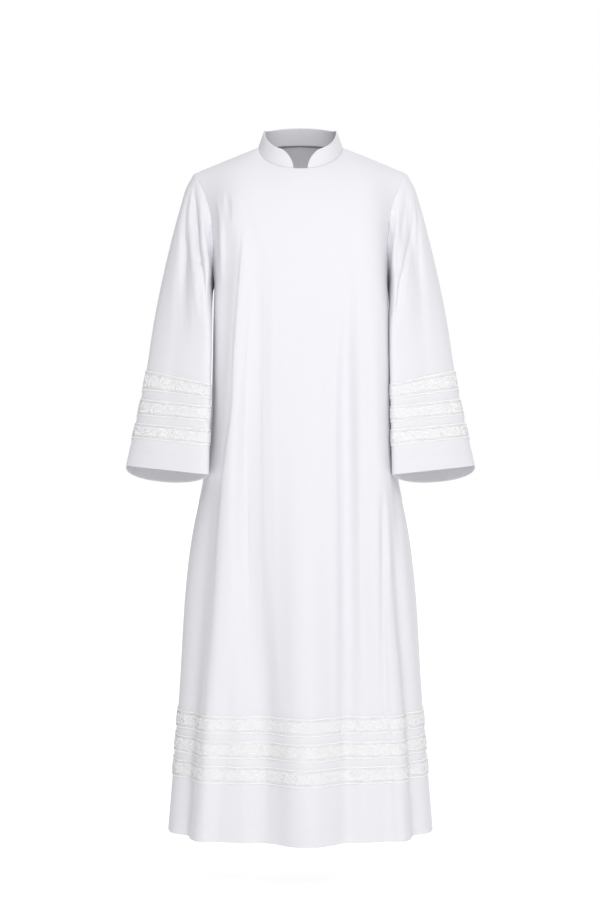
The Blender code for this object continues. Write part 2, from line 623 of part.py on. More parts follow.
def body_pieces():
    """The front and the two halves of the back, and what the sleeves, collar and bands need of them."""
    edges = [HEM_Z + up for up in band_edges(HEM_PLAIN, HEM_BAND, HEM_BETWEEN)]
    heights = [HEM_Z, HEM_Z + HEM_PLAIN / 2, *edges, *SKIRT_STATIONS]
    rises = [0.5 - 0.5 * math.cos(math.pi * k / YOKE_ROWS) for k in range(YOKE_ROWS + 1)]
    parts = np.linspace(0, 1, HALF + 1)
    front = panel_grid(-1, heights, rises, parts)
    back = panel_grid(1, heights, rises, parts)
    underarm, top, last = len(heights), len(front) - 1, COLUMNS
    inner, outer = HALF - NECK_COLUMN, HALF + NECK_COLUMN  # columns at the shoulder seams' inner ends

    def sides(col, name):
        below, above = range(underarm + 1), range(underarm, top + 1)
        return [(f"side_{name}", [(r, col) for r in below]), (f"armhole_{name}", [(r, col) for r in above])]

    def edge(name, first, final):
        return [(name, [(top, c) for c in range(first, final + 1)])]

    shoulders = edge("shoulder_right", 0, inner) + edge("shoulder_left", outer, last)
    front_necks = edge("neck_right", inner, HALF - 1) + edge("neck_left", HALF + 1, outer)
    back_necks = edge("neck_right", inner, HALF) + edge("neck_left", HALF, outer)
    both_sides = sides(0, "right") + sides(last, "left")
    left_tops = edge("shoulder_left", NECK_COLUMN, HALF) + edge("neck_left", 0, NECK_COLUMN)
    right_tops = edge("shoulder_right", 0, inner) + edge("neck_right", inner, HALF)
    centre_left = [("centre_back", [(r, 0) for r in range(top + 1)])]
    centre_right = [("centre_back", [(r, HALF) for r in range(top + 1)])]
    pieces = [
        Piece("front", front, 1, both_sides + shoulders + front_necks),
        Piece("back_right", back[:, : HALF + 1], -1, sides(0, "right") + right_tops + centre_right),
        Piece("back_left", back[:, HALF:], -1, sides(HALF, "left") + left_tops + centre_left),
    ]
    whole_back = Piece("back", back, -1, both_sides + shoulders + back_necks)
    return pieces, whole_back, underarm, heights.index(edges[0])


def main():
    for obj in list(bpy.data.objects):
        bpy.data.objects.remove(obj, do_unlink=True)
    make_materials()

    pieces, back_whole, underarm, first_band = body_pieces()
    front, back = pieces[0], back_whole

    ring = armhole(front.grid, back.grid, underarm)
    cuff_edges = band_edges(CUFF_PLAIN, CUFF_BAND, CUFF_BETWEEN)
    ups = sorted([0, *cuff_edges, *SLEEVE_STATIONS, SLEEVE_LENGTH], reverse=True)
    left = sleeve_grid(ups, ring)
    left[0] = ring
    around = [(0, c) for c in range(left.shape[1])]
    for side, grid, facing in (("left", left, 1), ("right", flipped_x(left), -1)):
        pieces.append(Piece(f"sleeve_{side}", grid, facing, [(f"armhole_{side}", around)], closed=True))

    rises = [k / COLLAR_ROWS for k in range(COLLAR_ROWS + 1)]
    outer = HALF + NECK_COLUMN
    front_neck, back_neck = front.grid[-1, HALF + 1 : outer + 1], back.grid[-1, outer - 1 : HALF - 1 : -1]
    neck_line = np.concatenate([front_neck, back_neck])
    for side, facing in (("left", 1), ("right", -1)):
        grid = collar_grid(neck_line, rises)
        if side == "right":
            grid = flipped_x(grid)
        last = grid.shape[1] - 1
        base = (f"neck_{side}", [(0, c) for c in range(last + 1)])
        end = ("collar_back", [(r, last) for r in range(len(rises))])
        pieces.append(Piece(f"collar_{side}", grid, facing, [base, end], thick=COLLAR_CLOTH))

    directions = share_seams(pieces)
    back.normals = np.concatenate([pieces[1].normals, pieces[2].normals[:, 1:]], axis=1)
    for piece in pieces:
        add_wall(piece, directions)
    for number in range(BAND_COUNT):
        low = first_band + 2 * (BAND_COUNT - 1 - number)
        for panel, name in ((front, "front"), (back, "back")):
            add_band(panel, directions, f"hem_band_{name}_{number + 1}", low, low + 1)
        cuff_low = ups.index(cuff_edges[2 * (BAND_COUNT - 1 - number)])
        for sleeve in pieces[3:5]:
            name = f"{sleeve.name.replace('sleeve', 'sleeve_band')}_{number + 1}"
            add_band(sleeve, directions, name, cuff_low, cuff_low - 1)
    add_button(pieces[5])


main()
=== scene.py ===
"""White alb, the visual model: cloth shells with turned hems on the CAD walls' own surfaces, with the fine folds,
seams, stitches, lace and button that the solids leave out. Units are metres, in the CAD's frame."""

import math
from collections import namedtuple

import bmesh
import bpy
import numpy as np
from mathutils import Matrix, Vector


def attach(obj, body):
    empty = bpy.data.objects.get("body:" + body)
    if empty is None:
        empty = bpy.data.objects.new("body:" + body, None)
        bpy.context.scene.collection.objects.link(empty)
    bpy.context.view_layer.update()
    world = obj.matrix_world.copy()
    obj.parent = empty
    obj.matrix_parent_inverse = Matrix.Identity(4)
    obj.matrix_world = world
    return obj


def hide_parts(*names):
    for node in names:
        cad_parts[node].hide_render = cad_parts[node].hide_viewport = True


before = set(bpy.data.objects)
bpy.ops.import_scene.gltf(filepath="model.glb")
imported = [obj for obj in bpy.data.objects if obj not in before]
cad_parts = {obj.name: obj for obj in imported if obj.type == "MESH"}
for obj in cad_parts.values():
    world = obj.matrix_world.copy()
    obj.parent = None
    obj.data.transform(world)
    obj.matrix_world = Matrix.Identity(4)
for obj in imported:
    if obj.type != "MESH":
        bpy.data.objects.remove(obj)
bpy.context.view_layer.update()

# ---------------------------------------------------------------- the garment's sizes, as in the part

CLOTH, COLLAR_CLOTH, SEAM_GAP = 0.0016, 0.0022, 0.0003
HEM_Z, UNDERARM_Z = -1.425, -0.290
SHOULDER_END = (0.2230, 0.003, -0.0560)
SHOULDER_FULLNESS = 0.12
CENTRE_BEND, SIDE_BEND = 0.80, 0.29
YOKE_SPREAD, YOKE_ROUND = 1.4, 2.6
CORNER_REACH, CORNER_FADE = 0.24, 0.10
NECK_HALF_WIDTH, NECK_FRONT_Y, NECK_BACK_Y = 0.0875, -0.090, 0.068
NECK_MEAN_DEPTH = (NECK_BACK_Y - NECK_FRONT_Y) / 2
NECK_FRONT_SLOPE, NECK_BACK_RISE, NECK_ROUNDNESS = 0.62, 0.014, 2.15
NOTCH_HALF_WIDTH = 0.0145
COLLAR_HEIGHT, COLLAR_LEAN = 0.038, math.radians(19)
COLLAR_END_LENGTH, COLLAR_END_LOW, COLLAR_END_POWER, COLLAR_END_ROOT = 0.036, 0.004, 2.2, 0.7
BAND_COUNT = 3
HEM_PLAIN, HEM_BAND, HEM_BETWEEN = 0.1160, 0.0365, 0.0138
CUFF_PLAIN, CUFF_BAND, CUFF_BETWEEN = 0.0620, 0.0355, 0.0165
CORD_PROUD = 0.0022
BUTTON_RADIUS, BUTTON_THICK, BUTTON_FROM_CENTRE = 0.0055, 0.0022, 0.0085
NOTCH_PART = 0.125  # the notch's edge, as a part of the way round half the neck

Section = namedtuple("Section", "z half_width side_y front_y back_y squareness")
BODY = (
    Section(-1.425, 0.2765, 0.016, -0.163, 0.200, 2.50),
    Section(-1.174, 0.2560, 0.014, -0.150, 0.182, 2.50),
    Section(-0.800, 0.2245, 0.010, -0.146, 0.152, 2.75),
    Section(-0.700, 0.2045, 0.008, -0.145, 0.144, 3.50),
    Section(-0.600, 0.1905, 0.007, -0.144, 0.138, 4.60),
    Section(-0.450, 0.1835, 0.005, -0.142, 0.133, 6.00),
    Section(-0.350, 0.1815, 0.004, -0.140, 0.134, 6.00),
    Section(-0.290, 0.1790, 0.004, -0.140, 0.134, 5.20),
)
Scye = namedtuple("Scye", "rise front_part back_part")
SCYE = (
    Scye(0.00, 1.000, 1.000),
    Scye(0.03, 0.940, 0.955),
    Scye(0.08, 0.868, 0.902),
    Scye(0.17, 0.785, 0.850),
    Scye(0.30, 0.738, 0.820),
    Scye(0.45, 0.744, 0.818),
    Scye(0.75, 0.804, 0.840),
    Scye(0.92, 0.842, 0.856),
    Scye(1.00, 0.860, 0.860),
)
FOLD_SPREAD_X, FOLD_SPREAD_Y, SIDE_STILL = 0.25, 0.16, 10

# A fold's crest stands to one side of its width where skew isn't 0: -1 is its low-x edge, +1 its high-x edge
Fold = namedtuple("Fold", "name z x half_width lift skew", defaults=[0.0])


def fold_table(folds):
    """Rows of folds from each fold's own rows: z, x, half_width, lift and, where it isn't 0, skew."""
    return [Fold(name, *row) for name, rows in folds.items() for row in rows]


FRONT_FOLDS = fold_table({
    "centre flute": [
        (-0.42, 0, 0.056, 0), (-0.8, 0.004, 0.068, 0.012), (-1.17, 0.009, 0.08, 0.03), (-1.425, 0.012, 0.088, 0.04),
    ],
    "right breast fold": [
        (-0.17, -0.146, 0.018, 0), (-0.23, -0.15, 0.03, -0.006), (-0.32, -0.158, 0.034, -0.011),
        (-0.57, -0.175, 0.036, -0.012), (-0.85, -0.202, 0.036, -0.011), (-1.15, -0.226, 0.03, -0.012),
        (-1.425, -0.246, 0.026, -0.018),
    ],
    "right ridge": [
        (-0.23, -0.102, 0.018, 0), (-0.42, -0.111, 0.026, 0.006), (-0.85, -0.15, 0.034, 0.007),
        (-1.2, -0.18, 0.036, 0.012), (-1.425, -0.198, 0.034, 0.016),
    ],
    "right valley": [
        (-0.22, -0.074, 0.016, 0), (-0.34, -0.078, 0.024, -0.009), (-0.56, -0.08, 0.028, -0.013),
        (-0.9, -0.078, 0.034, -0.012), (-1.425, -0.086, 0.034, -0.006),
    ],
    "left valley": [
        (-0.23, 0.096, 0.016, 0), (-0.4, 0.097, 0.024, -0.007), (-0.85, 0.1, 0.028, -0.01),
        (-1.425, 0.096, 0.034, -0.006),
    ],
    "left ridge": [
        (-0.26, 0.138, 0.022, 0), (-0.5, 0.146, 0.028, 0.004), (-0.9, 0.172, 0.032, 0.006),
        (-1.2, 0.192, 0.034, 0.011), (-1.425, 0.2, 0.034, 0.016),
    ],
    "left hip fold": [
        (-0.7, 0.19, 0.018, 0), (-0.86, 0.197, 0.02, -0.006), (-1.15, 0.222, 0.024, -0.01),
        (-1.425, 0.246, 0.026, -0.018),
    ],
})
BACK_FOLDS = fold_table({
    "right blade flute": [(-0.38, -0.092, 0.04, 0), (-0.8, -0.1, 0.05, 0.012), (-1.425, -0.112, 0.06, 0.036)],
    "left blade flute": [(-0.34, 0.084, 0.04, 0), (-0.78, 0.096, 0.048, 0.011), (-1.425, 0.118, 0.06, 0.034)],
    "centre valley": [(-0.3, 0, 0.034, 0), (-0.7, -0.002, 0.04, -0.007), (-1.425, -0.004, 0.048, -0.014)],
    "right back ridge": [(-0.6, -0.172, 0.024, 0), (-1, -0.188, 0.028, 0.008), (-1.425, -0.21, 0.032, 0.016)],
    "left back ridge": [(-0.68, 0.176, 0.024, 0), (-1.05, 0.192, 0.028, 0.009), (-1.425, 0.214, 0.032, 0.015)],
})
SLEEVE_FRONT_FOLDS = fold_table({
    "outer valley": [
        (-0.085, 0.229, 0.004, 0), (-0.18, 0.24, 0.013, -0.006), (-0.33, 0.248, 0.02, -0.003),
        (-0.44, 0.252, 0.022, 0),
    ],
    "head ridge": [
        (-0.085, 0.221, 0.005, 0), (-0.19, 0.218, 0.012, 0.005), (-0.32, 0.22, 0.016, 0.003), (-0.43, 0.224, 0.018, 0),
    ],
    "armhole valley": [(-0.13, 0.208, 0.006, 0), (-0.22, 0.196, 0.01, -0.005), (-0.33, 0.19, 0.012, 0)],
})
SLEEVE_BACK_FOLDS = fold_table({
    "elbow ridge": [(-0.12, 0.225, 0.01, 0), (-0.26, 0.238, 0.018, 0.006), (-0.43, 0.256, 0.022, 0)],
    "elbow valley": [(-0.16, 0.252, 0.01, 0), (-0.3, 0.264, 0.016, -0.006), (-0.44, 0.28, 0.018, 0)],
})
# Left sleeve, by distance above the cuff: its outer and inner lines, how far the front and the back stand
# from the middle of the two, and heel, the squareness of the back's inner half
SleeveRing = namedtuple(
    "SleeveRing",
    "up outer_x outer_y outer_z inner_x inner_y inner_z front_depth back_depth back_out back_drop heel",
)
SLEEVE = (
    SleeveRing(0.000, 0.3600, -0.046, -0.6645, 0.1870, -0.112, -0.6820, 0.028, 0.104, 0.022, 0.026, 2.15),
    SleeveRing(0.205, 0.3180, -0.036, -0.4630, 0.1836, -0.104, -0.4960, 0.026, 0.116, 0.018, 0.020, 2.60),
    SleeveRing(0.270, 0.3050, -0.030, -0.3730, 0.1825, -0.098, -0.4450, 0.030, 0.120, 0.010, 0.014, 3.40),
    SleeveRing(0.370, 0.2780, -0.014, -0.2350, 0.1822, -0.088, -0.3740, 0.044, 0.114, 0.006, 0.006, 3.60),
    SleeveRing(0.450, 0.2495, -0.002, -0.1220, 0.1828, -0.050, -0.3180, 0.068, 0.102, 0.003, 0.002, 3.60),
    SleeveRing(0.480, 0.2375, 0.002, -0.0830, 0.1828, -0.018, -0.2980, 0.076, 0.092, 0.000, 0.000, 3.00),
    SleeveRing(0.500, 0.2230, 0.003, -0.0560, 0.1790, 0.004, -0.2900, 0.080, 0.084, 0.000, 0.000, 2.15),
)
SLEEVE_LENGTH, HEAD_LENGTH = 0.500, 0.16
SLEEVE_SQUARENESS, INNER_SQUARENESS = 2.15, 3.80  # the second for the front's inner half

# ---------------------------------------------------------------- what the solids leave out: fine folds

FRONT_FINE = fold_table({
    "right armhole ridge": [
        (-0.11, -0.172, 0.006, 0), (-0.16, -0.163, 0.009, 0.003), (-0.23, -0.16, 0.009, 0.0035),
        (-0.3, -0.16, 0.009, 0),
    ],
    "right dimple": [(-0.1, -0.15, 0.008, 0), (-0.138, -0.148, 0.011, -0.003), (-0.175, -0.146, 0.01, 0)],
    "right breast edge": [
        (-0.185, -0.112, 0.008, 0, -0.5), (-0.228, -0.113, 0.01, 0.0022, -0.5), (-0.32, -0.119, 0.011, 0.003, -0.5),
        (-0.433, -0.127, 0.011, 0.0028, -0.5), (-0.546, -0.131, 0.012, 0.0026, -0.4),
        (-0.688, -0.149, 0.014, 0.0024, -0.4), (-0.961, -0.168, 0.016, 0.0022, -0.3),
        (-1.155, -0.183, 0.018, 0.0015, -0.3), (-1.425, -0.19, 0.018, 0.001, -0.3),
    ],
    "left hip line": [
        (-0.7, 0.164, 0.01, 0, 0.2), (-0.8, 0.168, 0.013, -0.007, 0.2), (-0.96, 0.168, 0.013, -0.0075, 0.2),
        (-1.15, 0.172, 0.013, -0.0045, 0.2), (-1.425, 0.184, 0.014, -0.0025, 0.2),
    ],
    "right second valley": [
        (-0.23, -0.09, 0.018, 0), (-0.3, -0.093, 0.024, -0.006), (-0.456, -0.101, 0.037, -0.012),
        (-0.56, -0.104, 0.04, -0.0165), (-0.7, -0.104, 0.042, -0.017), (-0.86, -0.102, 0.044, -0.017),
        (-1.11, -0.09, 0.053, -0.014), (-1.25, -0.078, 0.056, -0.008), (-1.425, -0.07, 0.052, -0.003),
    ],
    "right valley fill": [
        (-0.22, -0.074, 0.016, 0), (-0.34, -0.078, 0.024, 0.006), (-0.56, -0.08, 0.028, 0.01),
        (-0.9, -0.078, 0.034, 0.008), (-1.11, -0.08, 0.034, 0.004), (-1.3, -0.083, 0.034, 0),
    ],
    "left second valley": [
        (-0.34, 0.088, 0.02, 0), (-0.43, 0.089, 0.026, -0.0035), (-0.56, 0.09, 0.03, -0.008),
        (-0.76, 0.092, 0.031, -0.009), (-0.96, 0.096, 0.031, -0.0085), (-1.2, 0.098, 0.03, -0.004),
        (-1.425, 0.1, 0.03, -0.002),
    ],
    "left side crease": [
        (-0.6, 0.182, 0.008, 0), (-0.66, 0.19, 0.01, -0.0035), (-0.74, 0.198, 0.012, -0.003), (-0.86, 0.206, 0.012, 0),
    ],
    "soft wave a": [
        (-0.25, -0.03, 0.03, 0), (-0.42, -0.034, 0.036, 0.0008), (-0.64, -0.03, 0.04, 0.0007),
        (-0.86, -0.024, 0.036, 0),
    ],
    "soft wave b": [
        (-0.33, 0.046, 0.028, 0), (-0.52, 0.05, 0.034, -0.0008), (-0.8, 0.056, 0.04, -0.0012),
        (-1.1, 0.062, 0.04, -0.001), (-1.425, 0.066, 0.04, -0.001),
    ],
    "soft wave c": [(-0.16, 0.07, 0.026, 0), (-0.23, 0.076, 0.032, -0.001), (-0.33, 0.082, 0.03, 0)],
    "soft wave d": [
        (-0.7, -0.046, 0.03, 0), (-0.94, -0.044, 0.034, -0.0012), (-1.2, -0.046, 0.036, -0.0016),
        (-1.425, -0.048, 0.036, -0.0016),
    ],
    "yoke drag": [
        (-0.105, -0.118, 0.012, 0), (-0.15, -0.108, 0.018, -0.001), (-0.215, -0.09, 0.022, -0.0012),
        (-0.28, -0.07, 0.018, 0),
    ],
})
BACK_FINE = fold_table({
    "left armhole ridge": [
        (-0.11, 0.172, 0.006, 0), (-0.17, 0.168, 0.01, 0.003), (-0.26, 0.166, 0.011, 0.003), (-0.33, 0.165, 0.01, 0),
    ],
    "right armhole crease": [
        (-0.1, -0.176, 0.006, 0), (-0.17, -0.166, 0.011, -0.0035), (-0.26, -0.158, 0.014, -0.0045),
        (-0.38, -0.156, 0.016, -0.003), (-0.52, -0.16, 0.016, 0),
    ],
    "left armhole crease": [
        (-0.13, 0.17, 0.007, 0), (-0.21, 0.16, 0.012, -0.004), (-0.32, 0.152, 0.014, -0.0035),
        (-0.45, 0.152, 0.014, 0),
    ],
    "right blade line": [
        (-0.26, -0.06, 0.014, 0), (-0.4, -0.056, 0.02, -0.0035, 0.2), (-0.64, -0.058, 0.024, -0.006, 0.2),
        (-0.96, -0.062, 0.026, -0.0055), (-1.425, -0.064, 0.028, -0.004),
    ],
    "left blade line": [
        (-0.3, 0.044, 0.014, 0), (-0.47, 0.048, 0.02, -0.003, -0.2), (-0.76, 0.054, 0.024, -0.0055, -0.2),
        (-1.1, 0.06, 0.026, -0.005), (-1.425, 0.066, 0.028, -0.0035),
    ],
    "right hip line": [
        (-0.64, -0.14, 0.014, 0), (-0.8, -0.148, 0.018, -0.004), (-1.1, -0.158, 0.02, -0.004),
        (-1.425, -0.166, 0.02, -0.003),
    ],
    "left hip line": [
        (-0.56, 0.142, 0.014, 0), (-0.74, 0.15, 0.018, -0.004), (-1.05, 0.158, 0.02, -0.0045),
        (-1.425, 0.168, 0.02, -0.003),
    ],
    "blade drag": [(-0.12, 0.06, 0.016, 0), (-0.18, 0.072, 0.022, 0.0012), (-0.26, 0.084, 0.022, 0)],
})
# On the sleeves x is the distance from the middle plane, as in the left sleeve's own tables
RIGHT_SLEEVE_FINE = fold_table({
    "outer valley": [
        (-0.088, 0.227, 0.005, 0), (-0.139, 0.24, 0.008, -0.0055, -0.2), (-0.179, 0.243, 0.01, -0.0065, -0.2),
        (-0.22, 0.2407, 0.011, -0.0055, -0.2), (-0.271, 0.2386, 0.012, -0.004), (-0.333, 0.2366, 0.014, -0.003),
        (-0.4, 0.234, 0.014, 0),
    ],
    "fan ridge": [
        (-0.085, 0.224, 0.004, 0), (-0.139, 0.2283, 0.006, 0.003), (-0.179, 0.2273, 0.008, 0.004),
        (-0.22, 0.2231, 0.008, 0.004), (-0.271, 0.218, 0.009, 0.003), (-0.333, 0.2097, 0.01, 0.002),
        (-0.38, 0.206, 0.01, 0),
    ],
    "fan valley": [
        (-0.08, 0.2215, 0.004, 0), (-0.098, 0.2205, 0.005, -0.004), (-0.139, 0.218, 0.008, -0.008),
        (-0.179, 0.2149, 0.009, -0.0095), (-0.22, 0.211, 0.009, -0.0095), (-0.271, 0.2014, 0.009, -0.008),
        (-0.32, 0.1925, 0.009, -0.0035), (-0.356, 0.188, 0.008, 0),
    ],
    "armhole ridge": [
        (-0.095, 0.21, 0.005, 0), (-0.139, 0.2045, 0.007, 0.003), (-0.179, 0.2004, 0.008, 0.004),
        (-0.22, 0.1963, 0.008, 0.004), (-0.266, 0.19, 0.008, 0.003), (-0.296, 0.187, 0.007, 0),
    ],
    "forearm wave": [
        (-0.4, 0.256, 0.02, 0), (-0.47, 0.262, 0.024, -0.0016), (-0.56, 0.268, 0.026, -0.0012),
        (-0.64, 0.272, 0.024, 0),
    ],
})
LEFT_SLEEVE_FINE = fold_table({
    "elbow crease": [
        (-0.118, 0.236, 0.005, 0), (-0.139, 0.2341, 0.006, -0.0018), (-0.177, 0.231, 0.007, -0.0022, -0.2),
        (-0.22, 0.2227, 0.008, -0.0038, -0.3), (-0.271, 0.2112, 0.009, -0.0052, -0.3),
        (-0.333, 0.2008, 0.009, -0.006, -0.3), (-0.4, 0.188, 0.008, 0),
    ],
    "head line": [
        (-0.085, 0.22, 0.004, 0), (-0.139, 0.2154, 0.006, -0.0022), (-0.177, 0.21, 0.007, -0.0022),
        (-0.23, 0.204, 0.006, 0),
    ],
    "outer line": [
        (-0.11, 0.238, 0.005, 0), (-0.139, 0.244, 0.007, -0.003), (-0.177, 0.2445, 0.008, -0.003),
        (-0.22, 0.2445, 0.009, -0.0024), (-0.3, 0.248, 0.009, 0),
    ],
    "armhole ridge": [
        (-0.13, 0.203, 0.005, 0), (-0.185, 0.1975, 0.007, 0.0026), (-0.24, 0.192, 0.007, 0.0026),
        (-0.284, 0.188, 0.007, 0),
    ],
    "forearm wave": [
        (-0.36, 0.248, 0.018, 0), (-0.45, 0.258, 0.022, -0.0014), (-0.53, 0.266, 0.024, -0.0018),
        (-0.628, 0.276, 0.022, 0),
    ],
})
# Behind, on both sleeves
BACK_SLEEVE_FINE = fold_table({
    "upper crease": [
        (-0.11, 0.224, 0.006, 0), (-0.16, 0.22, 0.009, -0.004), (-0.225, 0.212, 0.01, -0.0055),
        (-0.3, 0.202, 0.01, -0.003), (-0.35, 0.196, 0.009, 0),
    ],
    "outer crease": [
        (-0.12, 0.242, 0.007, 0), (-0.19, 0.25, 0.01, -0.0045, 0.2), (-0.27, 0.256, 0.012, -0.004, 0.2),
        (-0.36, 0.264, 0.013, 0),
    ],
    "forearm wave": [
        (-0.33, 0.23, 0.014, 0), (-0.43, 0.236, 0.018, 0.0022), (-0.54, 0.244, 0.02, 0.0016), (-0.64, 0.252, 0.02, 0),
    ],
})

# ---------------------------------------------------------------- how fine the meshes are

CURVE_POINTS = 3000  # on a quarter of a section or neckline, before it is spaced evenly
HALF = 124  # columns across half a panel, before the extra ones at the seam
YOKE_ROWS, EVEN_PART = 88, 0.07  # rows, and how much of their spacing is even and not closer at the ends
SKIRT_STEP = 0.0048
PANEL_HALF_LENGTH = 0.330  # across half a panel, about
COLLAR_STEPS = 15
SLEEVE_STEP = 0.0034
SEAM_FADE = 0.007  # how far from a seam the fine folds fade out
GROOVE_WIDTH, GROOVE_DEPTH = 0.0016, 0.7  # the second as a part of the cloth's half thickness
SEAM_COLUMNS = (0.0036, 0.0021, 0.0010)  # extra columns or rows this far from a seam
STITCH_PITCH, STITCH_HALF, STITCH_RADIUS = 0.0030, 0.00125, 0.00026
STITCH_RINGS = ((-1.0, 0.35), (-0.7, 0.85), (0.0, 1.0), (0.7, 0.85), (1.0, 0.35))  # along it, and its thickness there
STITCH_TURNS = tuple(math.pi * k / 4 for k in range(5))
HEM_STITCH, CUFF_STITCH, COLLAR_STITCH = 0.035, 0.030, 0.0025  # how far from the edge
SLIT_STITCH, SLIT_LOW = 0.006, -0.235  # the back opening's stitches from its edge, and its foot
BUTTON_HOLES, HOLE_RADIUS = 0.00115, 0.0006  # a hole's middle from the button's, across and up
BUTTON_THREAD, LOOP_THREAD, LOOP_HALF = 0.00032, 0.00042, 0.0024  # two radii, and half the loop's width
TACK_PITCH, TACK_HALF, TACK_RADIUS = 0.0013, 0.0019, 0.00048
ROUND_STEPS = (math.pi / 6, math.pi / 3, math.pi / 2)  # round the collar's two ends
TURN_ROWS, TURN_UP = 5, (0.004, 0.012, 0.022, 0.032)  # the turned hem: round its edge, then up inside


def unit(vectors):
    return vectors / np.linalg.norm(vectors, axis=-1, keepdims=True)


def distances(line):
    """Distances along a line of points, from its first."""
    return np.concatenate([[0], np.cumsum(np.linalg.norm(np.diff(line, axis=0), axis=1))])


def curve_through(places, values, at):
    """Values of a smooth curve through the given points, level past its two ends; places rise."""
    places, values = np.asarray(places, float), np.asarray(values, float)
    at = np.clip(np.asarray(at, float), places[0], places[-1])
    slopes = np.gradient(values, places)
    i = np.clip(np.searchsorted(places, at, side="right") - 1, 0, len(places) - 2)
    span = places[i + 1] - places[i]
    t = (at - places[i]) / span
    start = values[i] * (1 + 2 * t) * (1 - t) ** 2 + slopes[i] * span * t * (1 - t) ** 2
    return start + values[i + 1] * t * t * (3 - 2 * t) - slopes[i + 1] * span * t * t * (1 - t)


def column(table, place, field, at):
    """One named column of a table of rows, read smoothly at the given places."""
    rows = sorted(table, key=lambda row: getattr(row, place))
    return curve_through([getattr(r, place) for r in rows], [getattr(r, field) for r in rows], at)


def fold_lift(folds, x, z):
    """How far the folds lift the cloth at the points x, z, as seen square on."""
    lift = np.zeros_like(x)
    for name in dict.fromkeys(fold.name for fold in folds):
        line = sorted((f for f in folds if f.name == name), key=lambda f: f.z)
        heights = [f.z for f in line]
        inside = (z >= heights[0] - 1e-9) & (z <= heights[-1])
        across = (x - curve_through(heights, [f.x for f in line], z)) / curve_through(
            heights, [f.half_width for f in line], z
        )
        skew = curve_through(heights, [f.skew for f in line], z)
        across = (across - skew) / np.where(across < skew, 1 + skew, 1 - skew)
        swell = np.where(np.abs(across) < 1, np.cos(np.clip(across, -1, 1) * math.pi / 2) ** 2, 0)
        lift += np.where(inside, swell * curve_through(heights, [f.lift for f in line], z), 0)
    return lift


def half_section(z, facing, parts):
    """x and y of a level half section, from its centre (part 0) to the side seam (part 1), evenly spaced."""
    half_width, side_y, squareness = (
        float(column(BODY, "z", name, z)) for name in ("half_width", "side_y", "squareness")
    )
    end_y = float(column(BODY, "z", "front_y" if facing < 0 else "back_y", z))
    turn = np.linspace(0, math.pi / 2, CURVE_POINTS)
    x = half_width * np.sin(turn) ** (2 / squareness)
    y = side_y + (end_y - side_y) * np.cos(turn).clip(0) ** (2 / squareness)
    length = np.concatenate([[0], np.cumsum(np.hypot(np.diff(x), np.diff(y)))])
    at = np.asarray(parts) * length[-1]
    return np.interp(at, length, x), np.interp(at, length, y)


def neckline(facing, parts):
    """Points of the left half of the neckline, from the centre (part 0) to the shoulder seam (part 1)."""
    end_y = NECK_FRONT_Y if facing < 0 else NECK_BACK_Y
    turn = np.linspace(0, math.pi / 2, CURVE_POINTS)
    x = NECK_HALF_WIDTH * np.sin(turn) ** (2 / NECK_ROUNDNESS)
    y = end_y * np.cos(turn).clip(0) ** (2 / NECK_ROUNDNESS)
    z = NECK_FRONT_SLOPE * y if facing < 0 else NECK_BACK_RISE * (y / end_y) ** 2
    line = np.stack([x, y, z], axis=1)
    length = distances(line)
    first = np.interp(NOTCH_HALF_WIDTH, x, length) / length[-1] if facing < 0 else NOTCH_PART
    share = curve_through([0, NOTCH_PART, 1], [0, first, 1], parts) * length[-1]
    return np.stack([np.interp(share, length, line[:, k]) for k in range(3)], axis=1)


def top_edge(facing, parts):
    """Points of a panel's top edge, left half: the neckline, then the shoulder seam and on past its end."""
    parts = np.asarray(parts)
    neck = neckline(facing, np.clip(parts / 0.5, 0, 1))
    along = ((parts - 0.5) / 0.5).clip(0)[:, None]
    neck_end = np.array([NECK_HALF_WIDTH, 0.0, 0.0])
    shoulder = neck_end + (np.array(SHOULDER_END) - neck_end) * along
    return np.where((parts <= 0.5)[:, None], neck, shoulder)


def soft_edge(facing, parts):
    """The top edge with its corner at the neck rounded off, as the cloth takes it a little lower."""
    total, weights = 0, 0
    for shift in np.linspace(-1, 1, 61):
        at = parts + shift * CORNER_REACH
        weight = math.cos(shift * math.pi / 2) ** 2
        total = total + weight * top_edge(facing, np.abs(at)) * np.where(at[:, None] < 0, [-1, 1, 1], 1)
        weights += weight
    return total / weights


def flipped_x(grid):
    return grid * np.array([-1.0, 1.0, 1.0])


def mirrored(half):
    """A whole panel's grid from its left half, with the centre column first in the half."""
    return np.concatenate([flipped_x(half[:, :0:-1]), half], axis=1)


def skirt_rows(facing, heights, parts):
    """Grid of the panel below the underarm, left half."""
    rows = []
    for z in heights:
        x, y = half_section(z, facing, parts)
        rows.append(np.stack([x, y, np.full_like(x, z)], axis=1))
    return np.array(rows)


